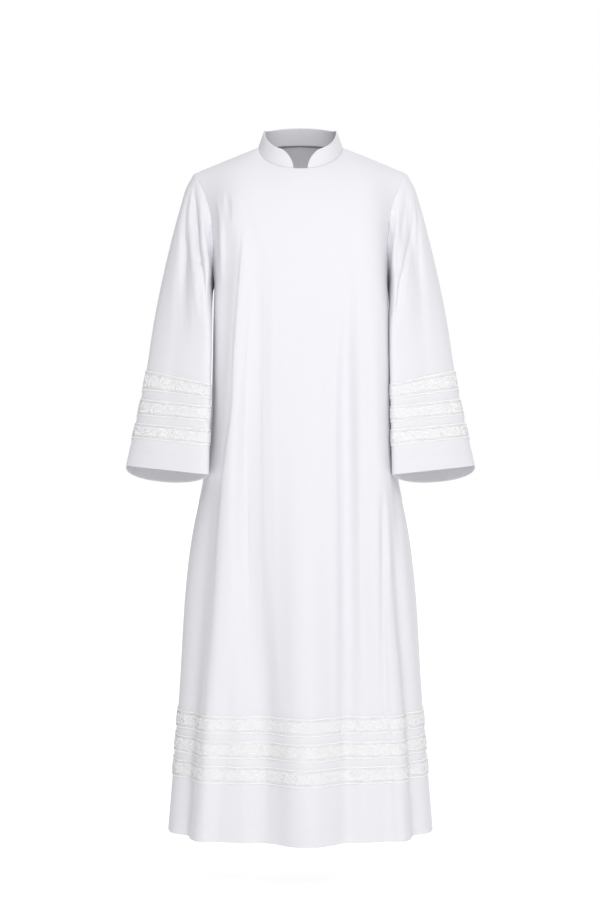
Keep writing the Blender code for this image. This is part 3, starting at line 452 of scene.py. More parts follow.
def yoke_rows(facing, rises, parts):
    """Grid of a panel from the underarm (rise 0) to the top edge (rise 1), left half, cut by the armhole."""
    edge_name = "front_part" if facing < 0 else "back_part"
    dense = np.linspace(0, 1, 2400)
    low_x, low_y = half_section(UNDERARM_Z, facing, dense)
    whole = getattr(SCYE[-1], edge_name)
    edge, soft = top_edge(facing, dense / whole), soft_edge(facing, dense / whole)
    bend = CENTRE_BEND + (SIDE_BEND - CENTRE_BEND) * dense
    rows = []
    for rise in rises:
        top = edge + (soft - edge) * (1 - np.clip(1 - (1 - rise) / CORNER_FADE, 0, 1) ** 3)
        full_y = np.interp(dense * (1 - SHOULDER_FULLNESS * rise**2), dense, low_y)
        x = low_x + (top[:, 0] - low_x) * rise**YOKE_SPREAD
        y = top[:, 1] + (full_y - top[:, 1]) * (1 - rise**YOKE_ROUND) ** bend
        z = UNDERARM_Z + (top[:, 2] - UNDERARM_Z) * rise
        at = np.asarray(parts) * column(SCYE, "rise", edge_name, rise)
        rows.append(np.stack([np.interp(at, dense, v) for v in (x, y, z)], axis=1))
    return np.array(rows)


def outward(points):
    """Level directions away from the middle of the body."""
    x, y = points[..., 0] / FOLD_SPREAD_X**2, points[..., 1] / FOLD_SPREAD_Y**2
    return unit(np.stack([x, y, 0 * x], axis=-1) + 1e-9)


def panel_grid(facing, heights, rises, parts):
    """Middle surface of the front (facing -1) or the back (+1): rows up from the hem, columns across."""
    half = np.concatenate([skirt_rows(facing, heights, parts), yoke_rows(facing, rises, parts)])
    grid = mirrored(half)
    across = np.concatenate([-np.asarray(parts)[:0:-1], parts])
    lift = fold_lift(FRONT_FOLDS if facing < 0 else BACK_FOLDS, grid[..., 0], grid[..., 2])
    return grid + outward(grid) * (lift * (1 - across**SIDE_STILL))[..., None]


def armhole(front, back, first_row):
    """The left armhole's ring, from the shoulder down the front to the underarm and up the back."""
    return np.concatenate([front[:first_row - 1:-1, -1], back[first_row + 1:-1, -1]])


def sleeve_grid(ups, ring, turn):
    """Middle surface of the left sleeve: rows down from the armhole to the cuff, columns round it."""
    is_front, is_inner = turn < math.pi, np.cos(turn) < 0

    def plain(up):
        row = {name: float(column(SLEEVE, "up", name, up)) for name in SleeveRing._fields}
        square = np.select([is_inner & is_front, is_inner], [INNER_SQUARENESS, row["heel"]], SLEEVE_SQUARENESS)
        reach = np.sign(np.cos(turn)) * np.abs(np.cos(turn)) ** (2 / square)
        side = np.abs(np.sin(turn)) ** (2 / square)
        outer = np.array([row["outer_x"], row["outer_y"], row["outer_z"]])
        inner = np.array([row["inner_x"], row["inner_y"], row["inner_z"]])
        front = np.array([0, -row["front_depth"], 0])
        back = np.array([row["back_out"], row["back_depth"], -row["back_drop"]])
        middle = (outer + inner) / 2
        points = middle + (outer - middle) * reach[:, None]
        return points + np.where(is_front[:, None], front, back) * side[:, None], middle, side

    head = ring - plain(SLEEVE_LENGTH)[0]
    rows = []
    for up in ups:
        points, middle, side = plain(up)
        away = points - middle
        away[:, 2] = 0
        for folds, facing in ((SLEEVE_FRONT_FOLDS, is_front), (SLEEVE_BACK_FOLDS, ~is_front)):
            lift = fold_lift(folds, points[:, 0], points[:, 2]) * facing * side
            points = points + unit(away + 1e-9) * lift[:, None]
        fade = np.clip((SLEEVE_LENGTH - up) / HEAD_LENGTH, 0, 1)
        rows.append(points + head * (1 - fade * fade * (3 - 2 * fade)))
    return np.array(rows)


def collar_grid(neck_line, rises, places):
    """Middle surface of the collar's left half: rows up, columns from the front end to the centre back."""
    lengths = distances(neck_line)
    base = np.stack([np.interp(places, lengths, neck_line[:, k]) for k in range(3)], axis=1)
    out = np.stack([base[:, 0] / NECK_HALF_WIDTH**2, base[:, 1] / NECK_MEAN_DEPTH**2, 0 * places], axis=1)
    out[-1, 0] = 0
    lean = math.cos(COLLAR_LEAN) * np.array([0, 0, 1]) - math.sin(COLLAR_LEAN) * unit(out)
    part = np.clip(1 - places / COLLAR_END_LENGTH, 0, 1)
    full = (1 - part**COLLAR_END_POWER) ** COLLAR_END_ROOT
    height = COLLAR_END_LOW + (COLLAR_HEIGHT - COLLAR_END_LOW) * full
    return np.array([base + lean * (height * rise)[:, None] for rise in rises])


def grid_normals(grid, closed, facing):
    """Outward unit normals at the points of a grid, from its neighbours' differences."""
    rows = np.gradient(grid, axis=0)
    columns = np.roll(grid, -1, axis=1) - np.roll(grid, 1, axis=1) if closed else np.gradient(grid, axis=1)
    return unit(np.cross(columns, rows)) * facing


# ---------------------------------------------------------------- cloth surfaces


class Cloth:
    """A piece of cloth: its middle surface, outward normals, and distance in from its sewn edges.

    Rows run up from the free edge (hem, cuff), or up the collar; sewn names the edges that are seams."""

    def __init__(self, name, grid, facing, sewn, thick=CLOTH, closed=False):
        self.name, self.middle, self.thick, self.closed, self.facing = name, grid, thick, closed, facing
        self.sewn = sewn
        self.across = self.lengths(1)
        self.up = self.lengths(0)
        near = np.full(grid.shape[:2], 1.0)
        if "start" in sewn:
            near = np.minimum(near, self.across)
        if "end" in sewn:
            near = np.minimum(near, self.across[:, -1:] - self.across)
        if "top" in sewn:
            near = np.minimum(near, self.up[-1:] - self.up)
        if "base" in sewn:
            near = np.minimum(near, self.up)
        self.near = near
        self.normals = grid_normals(grid, closed, facing)

    def lengths(self, axis):
        steps = np.linalg.norm(np.diff(self.middle, axis=axis), axis=-1)
        total = np.cumsum(steps, axis=axis)
        pad = [(0, 0), (0, 0)]
        pad[axis] = (1, 0)
        return np.pad(total, pad)

    def shape(self, lift):
        """Moves the cloth along its normals by lift, faded out at the seams."""
        fade = 1 - np.exp(-((self.near / SEAM_FADE) ** 2))
        self.middle = self.middle + self.normals * (lift * fade)[..., None]
        self.normals = grid_normals(self.middle, self.closed, self.facing)

    def offset(self):
        """How far the outer face stands from the middle surface: less in the groove of a seam."""
        groove = np.exp(-((self.near / GROOVE_WIDTH) ** 2))
        return self.thick / 2 * (1 - GROOVE_DEPTH * groove)

    def outer(self):
        return self.middle + self.normals * self.offset()[..., None]


def share_normals(cloths):
    """Gives pieces that meet at a seam one normal at each of its points."""
    totals, keys = {}, []
    for cloth in cloths:
        rows, columns = cloth.middle.shape[:2]
        rim = np.zeros((rows, columns), bool)
        rim[[0, -1]] = True
        if not cloth.closed:
            rim[:, [0, -1]] = True
        places = np.argwhere(rim)
        found = [(tuple(p), tuple(np.round(cloth.middle[tuple(p)] * 1e6).astype(int))) for p in places]
        keys.append(found)
        for place, key in found:
            totals[key] = totals.get(key, 0) + cloth.normals[place]
    for cloth, found in zip(cloths, keys):
        for place, key in found:
            cloth.normals[place] = unit(totals[key])


def shell_rows(cloth):
    """The outer face's rows, led by a turned hem where the first row is a free edge."""
    outer, offset = cloth.outer(), cloth.offset()[..., None]
    edge, normal, half = cloth.middle[0], cloth.normals[0], offset[0]
    down = unit(cloth.middle[0] - cloth.middle[2])
    down = unit(down - normal * np.sum(down * normal, axis=-1, keepdims=True))
    rows = []
    for up in reversed(TURN_UP):
        row = int(np.argmin(np.abs(cloth.up.mean(axis=1) - up)))
        rows.append(cloth.middle[row] - cloth.normals[row] * offset[row])
    for k in range(TURN_ROWS, 0, -1):
        turn = math.pi * k / (TURN_ROWS + 1)
        rows.append(edge + normal * half * math.cos(turn) + down * half * math.sin(turn))
    return np.concatenate([np.array(rows), outer])


def collar_shell(cloth):
    """Both faces of a collar half: up the outside, over the top edge and down the inside, its ends rounded."""
    middle, normals, half = cloth.middle.copy(), cloth.normals, cloth.offset()[..., None]
    ahead, behind = unit(middle[:, 0] - middle[:, 1]), unit(middle[:, -1] - middle[:, -2])
    middle[:, -1] -= behind * (half[:, -1] + 0.0001)

    def rolled(place, way, turn):
        edge = middle[:, place] + way * half[:, place] * math.sin(turn)
        return edge, normals[:, place], half[:, place] * math.cos(turn)

    columns = [rolled(0, ahead, turn) for turn in ROUND_STEPS[::-1]]
    columns += [(middle[:, k], normals[:, k], half[:, k]) for k in range(middle.shape[1])]
    columns += [rolled(-1, behind, turn) for turn in ROUND_STEPS]
    middle, normals, half = (np.stack(items, axis=1) for items in zip(*columns))
    outside, inside = middle + normals * half, middle - normals * half
    up = unit(middle[-1] - middle[-2])
    over = [
        middle[-1] + (normals[-1] * math.cos(turn) + up * math.sin(turn)) * half[-1]
        for turn in np.linspace(0, math.pi, 7)[1:-1]
    ]
    return np.concatenate([outside, over, inside[::-1], outside[:1]])


def weld(obj):
    """Joins points that lie on each other."""
    form = bmesh.new()
    form.from_mesh(obj.data)
    bmesh.ops.remove_doubles(form, verts=form.verts, dist=2e-6)
    form.to_mesh(obj.data)
    form.free()


def new_object(name, points, faces, *materials):
    """A smooth object from points and faces."""
    mesh = bpy.data.meshes.new(name)
    mesh.from_pydata([tuple(p) for p in points], [], faces)
    mesh.shade_smooth()
    for material in materials:
        mesh.materials.append(material)
    obj = bpy.data.objects.new(name, mesh)
    bpy.context.scene.collection.objects.link(obj)
    return obj


def piece_of(obj, slot, *nodes, carrier=None):
    """Ties a piece to its body, to the solids that it stands for, and to the cloth that carries it; slot is not used.
    """
    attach(obj, "root")
    if nodes:
        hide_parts(*nodes)
    if carrier:
        sewn_on[carrier].append(obj)


def grid_mesh(name, points, closed, flip, *materials):
    """A new object from a grid of points, with its UV map in metres."""
    rows, columns = points.shape[:2]
    index = np.arange(rows * columns).reshape(rows, columns)
    nxt = np.roll(index, -1, axis=1) if closed else index[:, 1:]
    here = index if closed else index[:, :-1]
    quads = np.stack([here[:-1], nxt[:-1], nxt[1:], here[1:]], axis=-1).reshape(-1, 4)
    if flip:
        quads = quads[:, ::-1]
    obj = new_object(name, points.reshape(-1, 3).tolist(), quads.tolist(), *materials)
    width = np.pad(np.cumsum(np.linalg.norm(np.diff(points, axis=1), axis=-1), axis=1), ((0, 0), (1, 0)))
    height = np.pad(np.cumsum(np.linalg.norm(np.diff(points, axis=0), axis=-1), axis=0), ((1, 0), (0, 0)))
    width -= width[:, -1:] / 2
    uv = np.stack([width, height], axis=-1).reshape(-1, 2)
    layer = obj.data.uv_layers.new(name="cloth")
    corner_uv = uv[quads.reshape(-1)]
    if closed:
        last = (quads.reshape(-1) % columns == 0) & np.repeat((quads % columns == columns - 1).any(axis=1), 4)
        span = width[:, -1] * 2 + np.linalg.norm(points[:, 0] - points[:, -1], axis=-1)
        corner_uv[last, 0] += span[quads.reshape(-1)[last] // columns]
    layer.data.foreach_set("uv", corner_uv.reshape(-1))
    return obj


# ---------------------------------------------------------------- lace

LACE_REPEAT = 0.0640  # the vine's repeat, about
LACE_GROUND = 0.0007  # how far the net stands off the cloth
OUTER_CORD, INNER_CORD, INNER_PROUD, INNER_START, NET_START = 0.0036, 0.0016, 0.0014, 0.0043, 0.0062
NET_ROWS, BAND_STEP = 5, 0.0030
LEAST_PROUD, RING_JUMP = 0.00005, 0.03
HEM_VINE_SHIFT, CUFF_VINE_SHIFT = 0.37, 0.31  # of a repeat, from each band to the next
CORD_SIDES = 7
VINE_RISE, STEM_HALF, THREAD_PROUD = 0.0066, 0.00125, 0.0016


class Surface:
    """A sheet that trim is laid on: places along a row and above the free edge become points in space."""

    def __init__(self, outer, normals, step, closed):
        if closed:
            outer = np.concatenate([outer, outer[:, :1]], axis=1)
            normals = np.concatenate([normals, normals[:, :1]], axis=1)
        self.outer, self.normals, self.step = outer, normals, step

    def widths(self, height):
        row = self.outer[int(round(height / self.step))]
        return distances(row)

    def points(self, along, height, proud, middle):
        """Points at distances along the row at height middle, at heights above the edge, standing proud."""
        widths = self.widths(middle)
        c = np.interp(along, widths, np.arange(len(widths)))
        r = np.clip(np.asarray(height) / self.step, 0, len(self.outer) - 1.001)
        c0, r0 = np.clip(c.astype(int), 0, len(widths) - 2), r.astype(int)
        cf, rf = (c - c0)[:, None], (r - r0)[:, None]

        def blend(grid):
            low = grid[r0, c0] * (1 - cf) + grid[r0, c0 + 1] * cf
            return low * (1 - rf) + (grid[r0 + 1, c0] * (1 - cf) + grid[r0 + 1, c0 + 1] * cf) * rf

        return blend(self.outer) + unit(blend(self.normals)) * np.asarray(proud)[:, None]


class Relief:
    """Flat motifs as raised threads: points (along, up, proud) and faces."""

    def __init__(self):
        self.points, self.faces = [], []

    def thread(self, line, half, proud):
        """A half-round thread along a line of (along, up)."""
        line = np.asarray(line, float)
        way = unit(np.gradient(line, axis=0))
        side = np.stack([-way[:, 1], way[:, 0]], axis=1)
        taper = np.sin(np.linspace(0.35, math.pi - 0.35, len(line))) ** 0.4
        half = (half * taper)[:, None]
        start = len(self.points)
        for a, m, b in zip(line - side * half, line, line + side * half):
            self.points += [(*a, 0.0), (*m, proud), (*b, 0.0)]
        for k in range(len(line) - 1):
            i = start + 3 * k
            self.faces += [(i, i + 3, i + 4, i + 1), (i + 1, i + 4, i + 5, i + 2)]

    def dome(self, start, sides):
        """Faces over a rim, an inner ring and a middle, from point number start."""
        for k in range(sides):
            n = (k + 1) % sides
            self.faces.append((start + k, start + n, start + sides + n, start + sides + k))
            self.faces.append((start + sides + k, start + sides + n, start + 2 * sides))

    def leaf(self, base, angle, length, half, proud, sides=10):
        """A domed leaf or petal, from its base, pointing along angle, with a vein down it."""
        way = np.array([math.cos(angle), math.sin(angle)])
        side = np.array([-way[1], way[0]])
        start = len(self.points)
        base = np.asarray(base, float)
        for k in range(sides):
            t = 2 * math.pi * k / sides
            along = length * (0.5 - 0.5 * math.cos(t))
            wide = half * math.sin(t) * (1 - 0.28 * math.cos(t))
            self.points.append((*(base + way * along + side * wide), 0.0))
        for k in range(sides):
            t = 2 * math.pi * k / sides
            along = length * (0.5 - 0.32 * math.cos(t))
            wide = half * 0.55 * math.sin(t)
            self.points.append((*(base + way * along + side * wide), proud))
        self.points.append((*(base + way * length * 0.5), proud * 0.62))
        self.dome(start, sides)

    def dot(self, centre, radius, proud, sides=8):
        start = len(self.points)
        for ring, rise in ((1.0, 0.0), (0.62, 0.8)):
            for k in range(sides):
                t = 2 * math.pi * k / sides
                self.points.append((centre[0] + radius * ring * math.cos(t), centre[1] + radius * ring * math.sin(t),
                                    proud * rise))
        self.points.append((*centre, proud))
        self.dome(start, sides)


def vine_repeat(height):
    """One repeat of the vine: a waving stem, a scroll and a rosette in each bay, leaves and berries."""
    relief = Relief()
    span = LACE_REPEAT
    along = np.linspace(-0.02, 1.02, 34) * span
    relief.thread(np.stack([along, VINE_RISE * np.sin(2 * math.pi * along / span)], axis=1), STEM_HALF, THREAD_PROUD)
    for start, up in ((0.0, 1), (0.5 * span, -1)):
        heart = np.array([start + 0.25 * span, -up * 0.0036])

        def at(x, y):
            return (start + x, up * y)

        def turned(angle):
            return angle * up

        # the scroll leaves the stem and closes round the rosette
        t = np.linspace(0, 1, 26)
        angle = math.radians(158) + t * math.radians(292)
        radius = 0.0098 - 0.0040 * t
        curl = np.stack([0.25 * span + radius * np.cos(angle) * 1.12, -0.0036 + radius * np.sin(angle) * 0.88], axis=1)
        relief.thread([at(x, y) for x, y in curl], 0.0010, THREAD_PROUD * 0.85)
        for k in range(5):
            a = turned(math.radians(90 + 72 * k))
            relief.leaf(heart + 0.0008 * np.array([math.cos(a), math.sin(a)]), a, 0.0050, 0.0018, THREAD_PROUD)
        relief.dot(heart, 0.0014, THREAD_PROUD * 1.15)
        # a spray of leaves over the stem's crest
        for x, y, lean, length in ((0.25, 0.0072, 90, 0.0062), (0.21, 0.0068, 128, 0.0056), (0.29, 0.0068, 52, 0.0056),
                                   (0.13, 0.0046, 122, 0.0062), (0.37, 0.0046, 58, 0.0062)):
            relief.leaf(at(x * span, y), turned(math.radians(lean)), length, 0.0016, THREAD_PROUD * 0.9)
        # leaves on the scroll's outside, in the corners of the bay
        for x, y, lean, length in ((0.095, -0.0040, 222, 0.0052), (0.125, -0.0088, 232, 0.0046),
                                   (0.40, -0.0060, 318, 0.0050)):
            relief.leaf(at(x * span, y), turned(math.radians(lean)), length, 0.0015, THREAD_PROUD * 0.85)
        for x, y in ((0.255, 0.0142 - 0.0006), (0.17, 0.0128), (0.335, 0.0128), (0.02, -0.0122), (0.055, -0.0132)):
            relief.dot(at(x * span, y), 0.0010, THREAD_PROUD * 0.8)
    points = np.array(relief.points)
    limit = height / 2 - 0.0002
    points[:, 1] = np.clip(points[:, 1], -limit, limit)
    return points, relief.faces


def cord_profile(edge, inward, width, proud):
    """Places and heights across a half-round cord that starts at edge."""
    turn = np.linspace(0, math.pi, CORD_SIDES)
    return [(edge + inward * width * (1 - math.cos(t)) / 2, proud * math.sin(t)) for t in turn]


def lace_band(name, surface, low, high, shift, closed, solid, carrier):
    """A band of lace between two heights: net, a cord along each edge, a fine one inside it, and the vine."""
    middle = (low + high) / 2
    total = surface.widths(middle)[-1]
    inner_low, inner_high = low + NET_START, high - NET_START
    profile = cord_profile(low, 1, OUTER_CORD, CORD_PROUD)
    profile += cord_profile(low + INNER_START, 1, INNER_CORD, INNER_PROUD)
    profile += [(inner_low + (inner_high - inner_low) * k / NET_ROWS, LACE_GROUND) for k in range(NET_ROWS + 1)]
    profile += cord_profile(high - INNER_START, -1, INNER_CORD, INNER_PROUD)[::-1]
    profile += cord_profile(high, -1, OUTER_CORD, CORD_PROUD)[::-1]
    along = np.linspace(0, total, int(total / BAND_STEP) + 1)
    if closed:
        along = along[:-1]
    grid = np.array([
        surface.points(along, np.full(len(along), up), np.full(len(along), max(proud, LEAST_PROUD)), middle)
        for up, proud in profile
    ])
    flip = LACE_FLIP[name.split("_")[1]]
    obj = grid_mesh(name, grid, closed, flip, lace_net, lace_thread)
    per_row = len(along) if closed else len(along) - 1
    slots = np.ones(len(obj.data.polygons), int)
    slots[2 * CORD_SIDES * per_row : (2 * CORD_SIDES + NET_ROWS) * per_row] = 0
    obj.data.polygons.foreach_set("material_index", slots)

    repeats = max(1, round(total / LACE_REPEAT))
    points, faces = vine_repeat(inner_high - inner_low)
    scale = total / repeats / LACE_REPEAT
    all_points, all_faces = [], []
    for k in range(-1, repeats + 1):
        x = (points[:, 0] + (k + shift) * LACE_REPEAT) * scale
        if x.max() <= 0 or x.min() >= total or (closed and k == -1):
            continue
        x = np.mod(x, total) if closed else np.clip(x, 0, total)
        base = sum(len(p) for p in all_points)
        all_points.append(surface.points(x, middle + points[:, 1], points[:, 2] + LACE_GROUND, middle))
        all_faces += [tuple(i + base for i in face) for face in faces]
    every = np.concatenate(all_points)
    if closed:  # without faces that would cross from the ring's end back to its start
        all_faces = [face for face in all_faces if np.ptp(every[list(face)], axis=0).max() < RING_JUMP]
    if flip:
        all_faces = [face[::-1] for face in all_faces]
    vine = new_object(name + "_vine", every.tolist(), all_faces, lace_thread)
    vine.data.uv_layers.new(name="cloth")
    for piece in (obj, vine):
        piece_of(piece, "lace", solid, carrier=carrier)


# ---------------------------------------------------------------- materials

WEAVE_PITCH, NET_PITCH = 0.0007, 0.0016


def shader_of(material):
    return material.node_tree.nodes["Principled BSDF"]


def new_material(name, colour, roughness, sheen=0.0, specular=0.25, glow=None):
    material = bpy.data.materials.new(name)
    material.use_nodes = True
    sockets = shader_of(material).inputs
    sockets["Base Color"].default_value = (*colour, 1)
    sockets["Roughness"].default_value = roughness
    sockets["Specular IOR Level"].default_value = specular
    sockets["Sheen Weight"].default_value = sheen
    sockets["Sheen Roughness"].default_value = 0.5
    if glow is not None:
        sockets["Emission Color"].default_value = (1, 1, 1, 1)
        sockets["Emission Strength"].default_value = glow
    return material


def node(material, kind, output, inputs, **settings):
    """A new shader node's output; inputs are values, or outputs of other nodes to link."""
    made = material.node_tree.nodes.new("ShaderNode" + kind)
    for name, value in settings.items():
        setattr(made, name, value)
    for name, value in inputs.items():
        if isinstance(value, bpy.types.NodeSocket):
            material.node_tree.links.new(value, made.inputs[name])
        else:
            made.inputs[name].default_value = value
    return made.outputs[output]


def finish_material(material, normal, factor, low, high):
    """Links the bumps and a tone between two colours to the shader."""
    mix = {"A": (*low, 1), "B": (*high, 1), "Factor": factor}
    tone = node(material, "Mix", "Result", mix, data_type="RGBA")
    for output, socket in ((normal, "Normal"), (tone, "Base Color")):
        material.node_tree.links.new(output, shader_of(material).inputs[socket])
    return material


def cloth_material(name, colour, sheen):
    """Plain weave of fine threads, slightly uneven, with the faintest colour change from thread to thread."""
    material = new_material(name, colour, 0.82, sheen)
    uv = node(material, "UVMap", "UV", {}, uv_map="cloth")
    thread = {"Scale": 1 / WEAVE_PITCH / 2, "Distortion": 1.2, "Detail": 1.0, "Vector": uv}
    waves = [node(material, "TexWave", "Fac", thread, bands_direction=axis) for axis in "XY"]
    height = node(material, "Math", 0, {0: waves[0], 1: waves[1]}, operation="ADD")
    stretched = node(material, "Mapping", "Vector", {"Scale": (420, 60, 1), "Vector": uv})
    slub = node(material, "TexNoise", "Fac", {"Vector": stretched, "Scale": 1.0, "Detail": 3.0})
    weave = node(material, "Bump", "Normal", {"Strength": 0.12, "Distance": 0.0002, "Height": height})
    uneven = {"Strength": 0.10, "Distance": 0.0006, "Height": slub, "Normal": weave}
    normal = node(material, "Bump", "Normal", uneven)
    return finish_material(material, normal, slub, [c * 0.985 for c in colour], colour)


def net_material(name, colour):
    """A fine net: raised diamonds of thread, painted lighter on top, with painted shade darkening the holes between.
    """
    material = new_material(name, colour, 0.85, 0.05)
    uv = node(material, "UVMap", "UV", {}, uv_map="cloth")
    waves = []
    for angle in (45, -45):
        turned = node(material, "Mapping", "Vector", {"Rotation": (0, 0, math.radians(angle)), "Vector": uv})
        wave = {"Scale": 1 / NET_PITCH / 2, "Distortion": 0.6, "Vector": turned}
        waves.append(node(material, "TexWave", "Fac", wave, bands_direction="X"))
    total = node(material, "Math", 0, {0: waves[0], 1: waves[1]}, operation="MAXIMUM")
    normal = node(material, "Bump", "Normal", {"Strength": 0.5, "Distance": 0.0004, "Height": total})
    # the tone follows the net's height: painted shade in the holes, painted highlight on the raised threads
    return finish_material(material, normal, total, [c * 0.86 for c in colour], [min(1, c * 1.06) for c in colour])


def thread_material(name, colour):
    """Soft raised thread, twisted, with a faint change of tone along it."""
    material = new_material(name, colour, 0.7, 0.1)
    where = node(material, "TexCoord", "Object", {})
    noise = node(material, "TexNoise", "Fac", {"Scale": 900, "Detail": 2, "Vector": where})
    normal = node(material, "Bump", "Normal", {"Strength": 0.35, "Distance": 0.0004, "Height": noise})
    return finish_material(material, normal, noise, [c * 0.95 for c in colour], colour)


# ---------------------------------------------------------------- the pieces


def extra(values, ends):
    """Places with the seam's extra ones put in near the given ends, each (end, metres for a unit)."""
    for end, length in ends:
        sign = 1 if end == values[-1] else -1
        near = [end - sign * step / length for step in SEAM_COLUMNS]
        kept = [v for v in values if abs(v - end) * length > SEAM_COLUMNS[0] * 1.25 or v == end]
        values = sorted(kept + near, reverse=bool(values[0] > values[-1]))
    return np.array(values)


white_cloth = cloth_material("alb_cloth", (0.765, 0.765, 0.80), 0.12)
lace_net = net_material("lace_net", (0.83, 0.83, 0.845))
lace_thread = thread_material("lace_thread", (0.875, 0.875, 0.885))

skirt = np.linspace(HEM_Z, UNDERARM_Z, int(round((UNDERARM_Z - HEM_Z) / SKIRT_STEP)) + 1)[:-1]
even = np.arange(YOKE_ROWS + 1) / YOKE_ROWS
rises = EVEN_PART * even + (1 - EVEN_PART) * (0.5 - 0.5 * np.cos(math.pi * even))
parts = extra(list(np.arange(HALF + 1) / HALF), [(1.0, PANEL_HALF_LENGTH)])
neck_column = int(np.argmin(np.abs(parts - 0.5)))
notch_column = int(np.argmin(np.abs(parts - 0.5 * NOTCH_PART)))

front_grid = panel_grid(-1, skirt, rises, parts)
back_grid = panel_grid(1, skirt, rises, parts)
underarm, middle_column = len(skirt), len(parts) - 1

ring = armhole(front_grid, back_grid, underarm)
angle = np.arccos(1 - 2 * rises)
turn = np.concatenate([math.pi - angle[::-1], math.pi + angle[1:-1]])
step = SLEEVE_LENGTH / round(SLEEVE_LENGTH / SLEEVE_STEP)
ups = extra(list(np.arange(0, SLEEVE_LENGTH + 1e-6, step)), [(SLEEVE_LENGTH, 1.0)])
ups[-1] = SLEEVE_LENGTH
left_sleeve = sleeve_grid(ups, ring, turn)
left_sleeve[-1] = ring

neck_line = np.concatenate([
    front_grid[-1, middle_column + notch_column : middle_column + neck_column + 1],
    back_grid[-1, middle_column + neck_column - 1 : middle_column - 1 : -1],
])
collar_left_grid = collar_grid(neck_line, np.linspace(0, 1, COLLAR_STEPS + 1), distances(neck_line))

seams_all = ("start", "end", "top")
cloths = [
    Cloth("alb_front", front_grid, 1, seams_all),
    Cloth("alb_back_right", back_grid[:, : middle_column + 1], -1, seams_all),
    Cloth("alb_back_left", back_grid[:, middle_column:], -1, seams_all),
    Cloth("alb_sleeve_left", left_sleeve, -1, ("top",), closed=True),
    Cloth("alb_sleeve_right", flipped_x(left_sleeve), 1, ("top",), closed=True),
    Cloth("alb_collar_left", collar_left_grid, 1, ("base",), COLLAR_CLOTH),
    Cloth("alb_collar_right", flipped_x(collar_left_grid), -1, ("base",), COLLAR_CLOTH),
]
for cloth, folds in zip(cloths[:3], (FRONT_FINE, BACK_FINE, BACK_FINE)):
    cloth.shape(fold_lift(folds, cloth.middle[..., 0], cloth.middle[..., 2]))
on_front, on_back = np.sin(turn).clip(0) ** 0.8, (-np.sin(turn)).clip(0) ** 0.8
for cloth, folds in zip(cloths[3:5], (LEFT_SLEEVE_FINE, RIGHT_SLEEVE_FINE)):
    out, up = np.abs(cloth.middle[..., 0]), cloth.middle[..., 2]
    cloth.shape(fold_lift(folds, out, up) * on_front + fold_lift(BACK_SLEEVE_FINE, out, up) * on_back)
share_normals(cloths)
sewn_on = {cloth.name: [] for cloth in cloths}  # what each piece of cloth carries
for cloth in cloths:
    is_collar = "base" in cloth.sewn
    points = collar_shell(cloth) if is_collar else shell_rows(cloth)
    obj = grid_mesh(cloth.name, points, cloth.closed, cloth.facing < 0, white_cloth)
    if is_collar:
        weld(obj)
    piece_of(obj, "white_cloth", cloth.name.removeprefix("alb_"))


def band_edges(plain, band, between):
    """Distances of the bands' edges above the hem or cuff, lowest first."""
    return [(plain + k * (band + between), plain + k * (band + between) + band) for k in range(BAND_COUNT)]


def bridged(outer, normals):
    """A row grid without its columns in the groove at the centre back."""
    keep = [c for c in range(outer.shape[1]) if abs(c - len(parts) + 1) > len(SEAM_COLUMNS)]
    return outer[:, keep], normals[:, keep]


named = {cloth.name: cloth for cloth in cloths}
skirt_step = (UNDERARM_Z - HEM_Z) / len(skirt)
right, left = named["alb_back_right"], named["alb_back_left"]
back_outer = np.concatenate([right.outer(), left.outer()[:, 1:]], axis=1)
back_normals = np.concatenate([right.normals, left.normals[:, 1:]], axis=1)
LACE_FLIP = {"front": False, "back": True, "left": True, "right": False}
surfaces = {
    "front": Surface(named["alb_front"].outer(), named["alb_front"].normals, skirt_step, False),
    "back": Surface(*bridged(back_outer, back_normals), skirt_step, False),
}
sleeve_step = ups[1] - ups[0]
for side in ("left", "right"):
    cloth = named[f"alb_sleeve_{side}"]
    surfaces[side] = Surface(cloth.outer(), cloth.normals, sleeve_step, True)
hem_bands = reversed(band_edges(HEM_PLAIN, HEM_BAND, HEM_BETWEEN))
for number, (low, high) in enumerate(hem_bands, 1):
    for side, carrier in (("front", "alb_front"), ("back", "alb_back_left")):
        lace_band(f"lace_{side}_{number}", surfaces[side], low, high, HEM_VINE_SHIFT * number, False,
                  f"hem_band_{side}_{number}", carrier)
cuff_bands = reversed(band_edges(CUFF_PLAIN, CUFF_BAND, CUFF_BETWEEN))
for number, (low, high) in enumerate(cuff_bands, 1):
    for side in ("left", "right"):
        lace_band(f"lace_{side}_sleeve_{number}", surfaces[side], low, high, CUFF_VINE_SHIFT * number, True,
                  f"sleeve_band_{side}_{number}", f"alb_sleeve_{side}")

# ---------------------------------------------------------------- stitches, button and its loop


def stitch_run(points, normals, start=0.0, end=0.0):
    """Places, ways and normals of the stitches along a line of points on the cloth."""
    length = distances(points)
    at = np.arange(start + STITCH_PITCH / 2, length[-1] - end - STITCH_PITCH / 2, STITCH_PITCH)

    def along(values, places):
        return np.stack([np.interp(places, length, values[:, k]) for k in range(3)], axis=1)

    return along(points, at), unit(along(points, at + 0.0004) - along(points, at - 0.0004)), unit(along(normals, at))


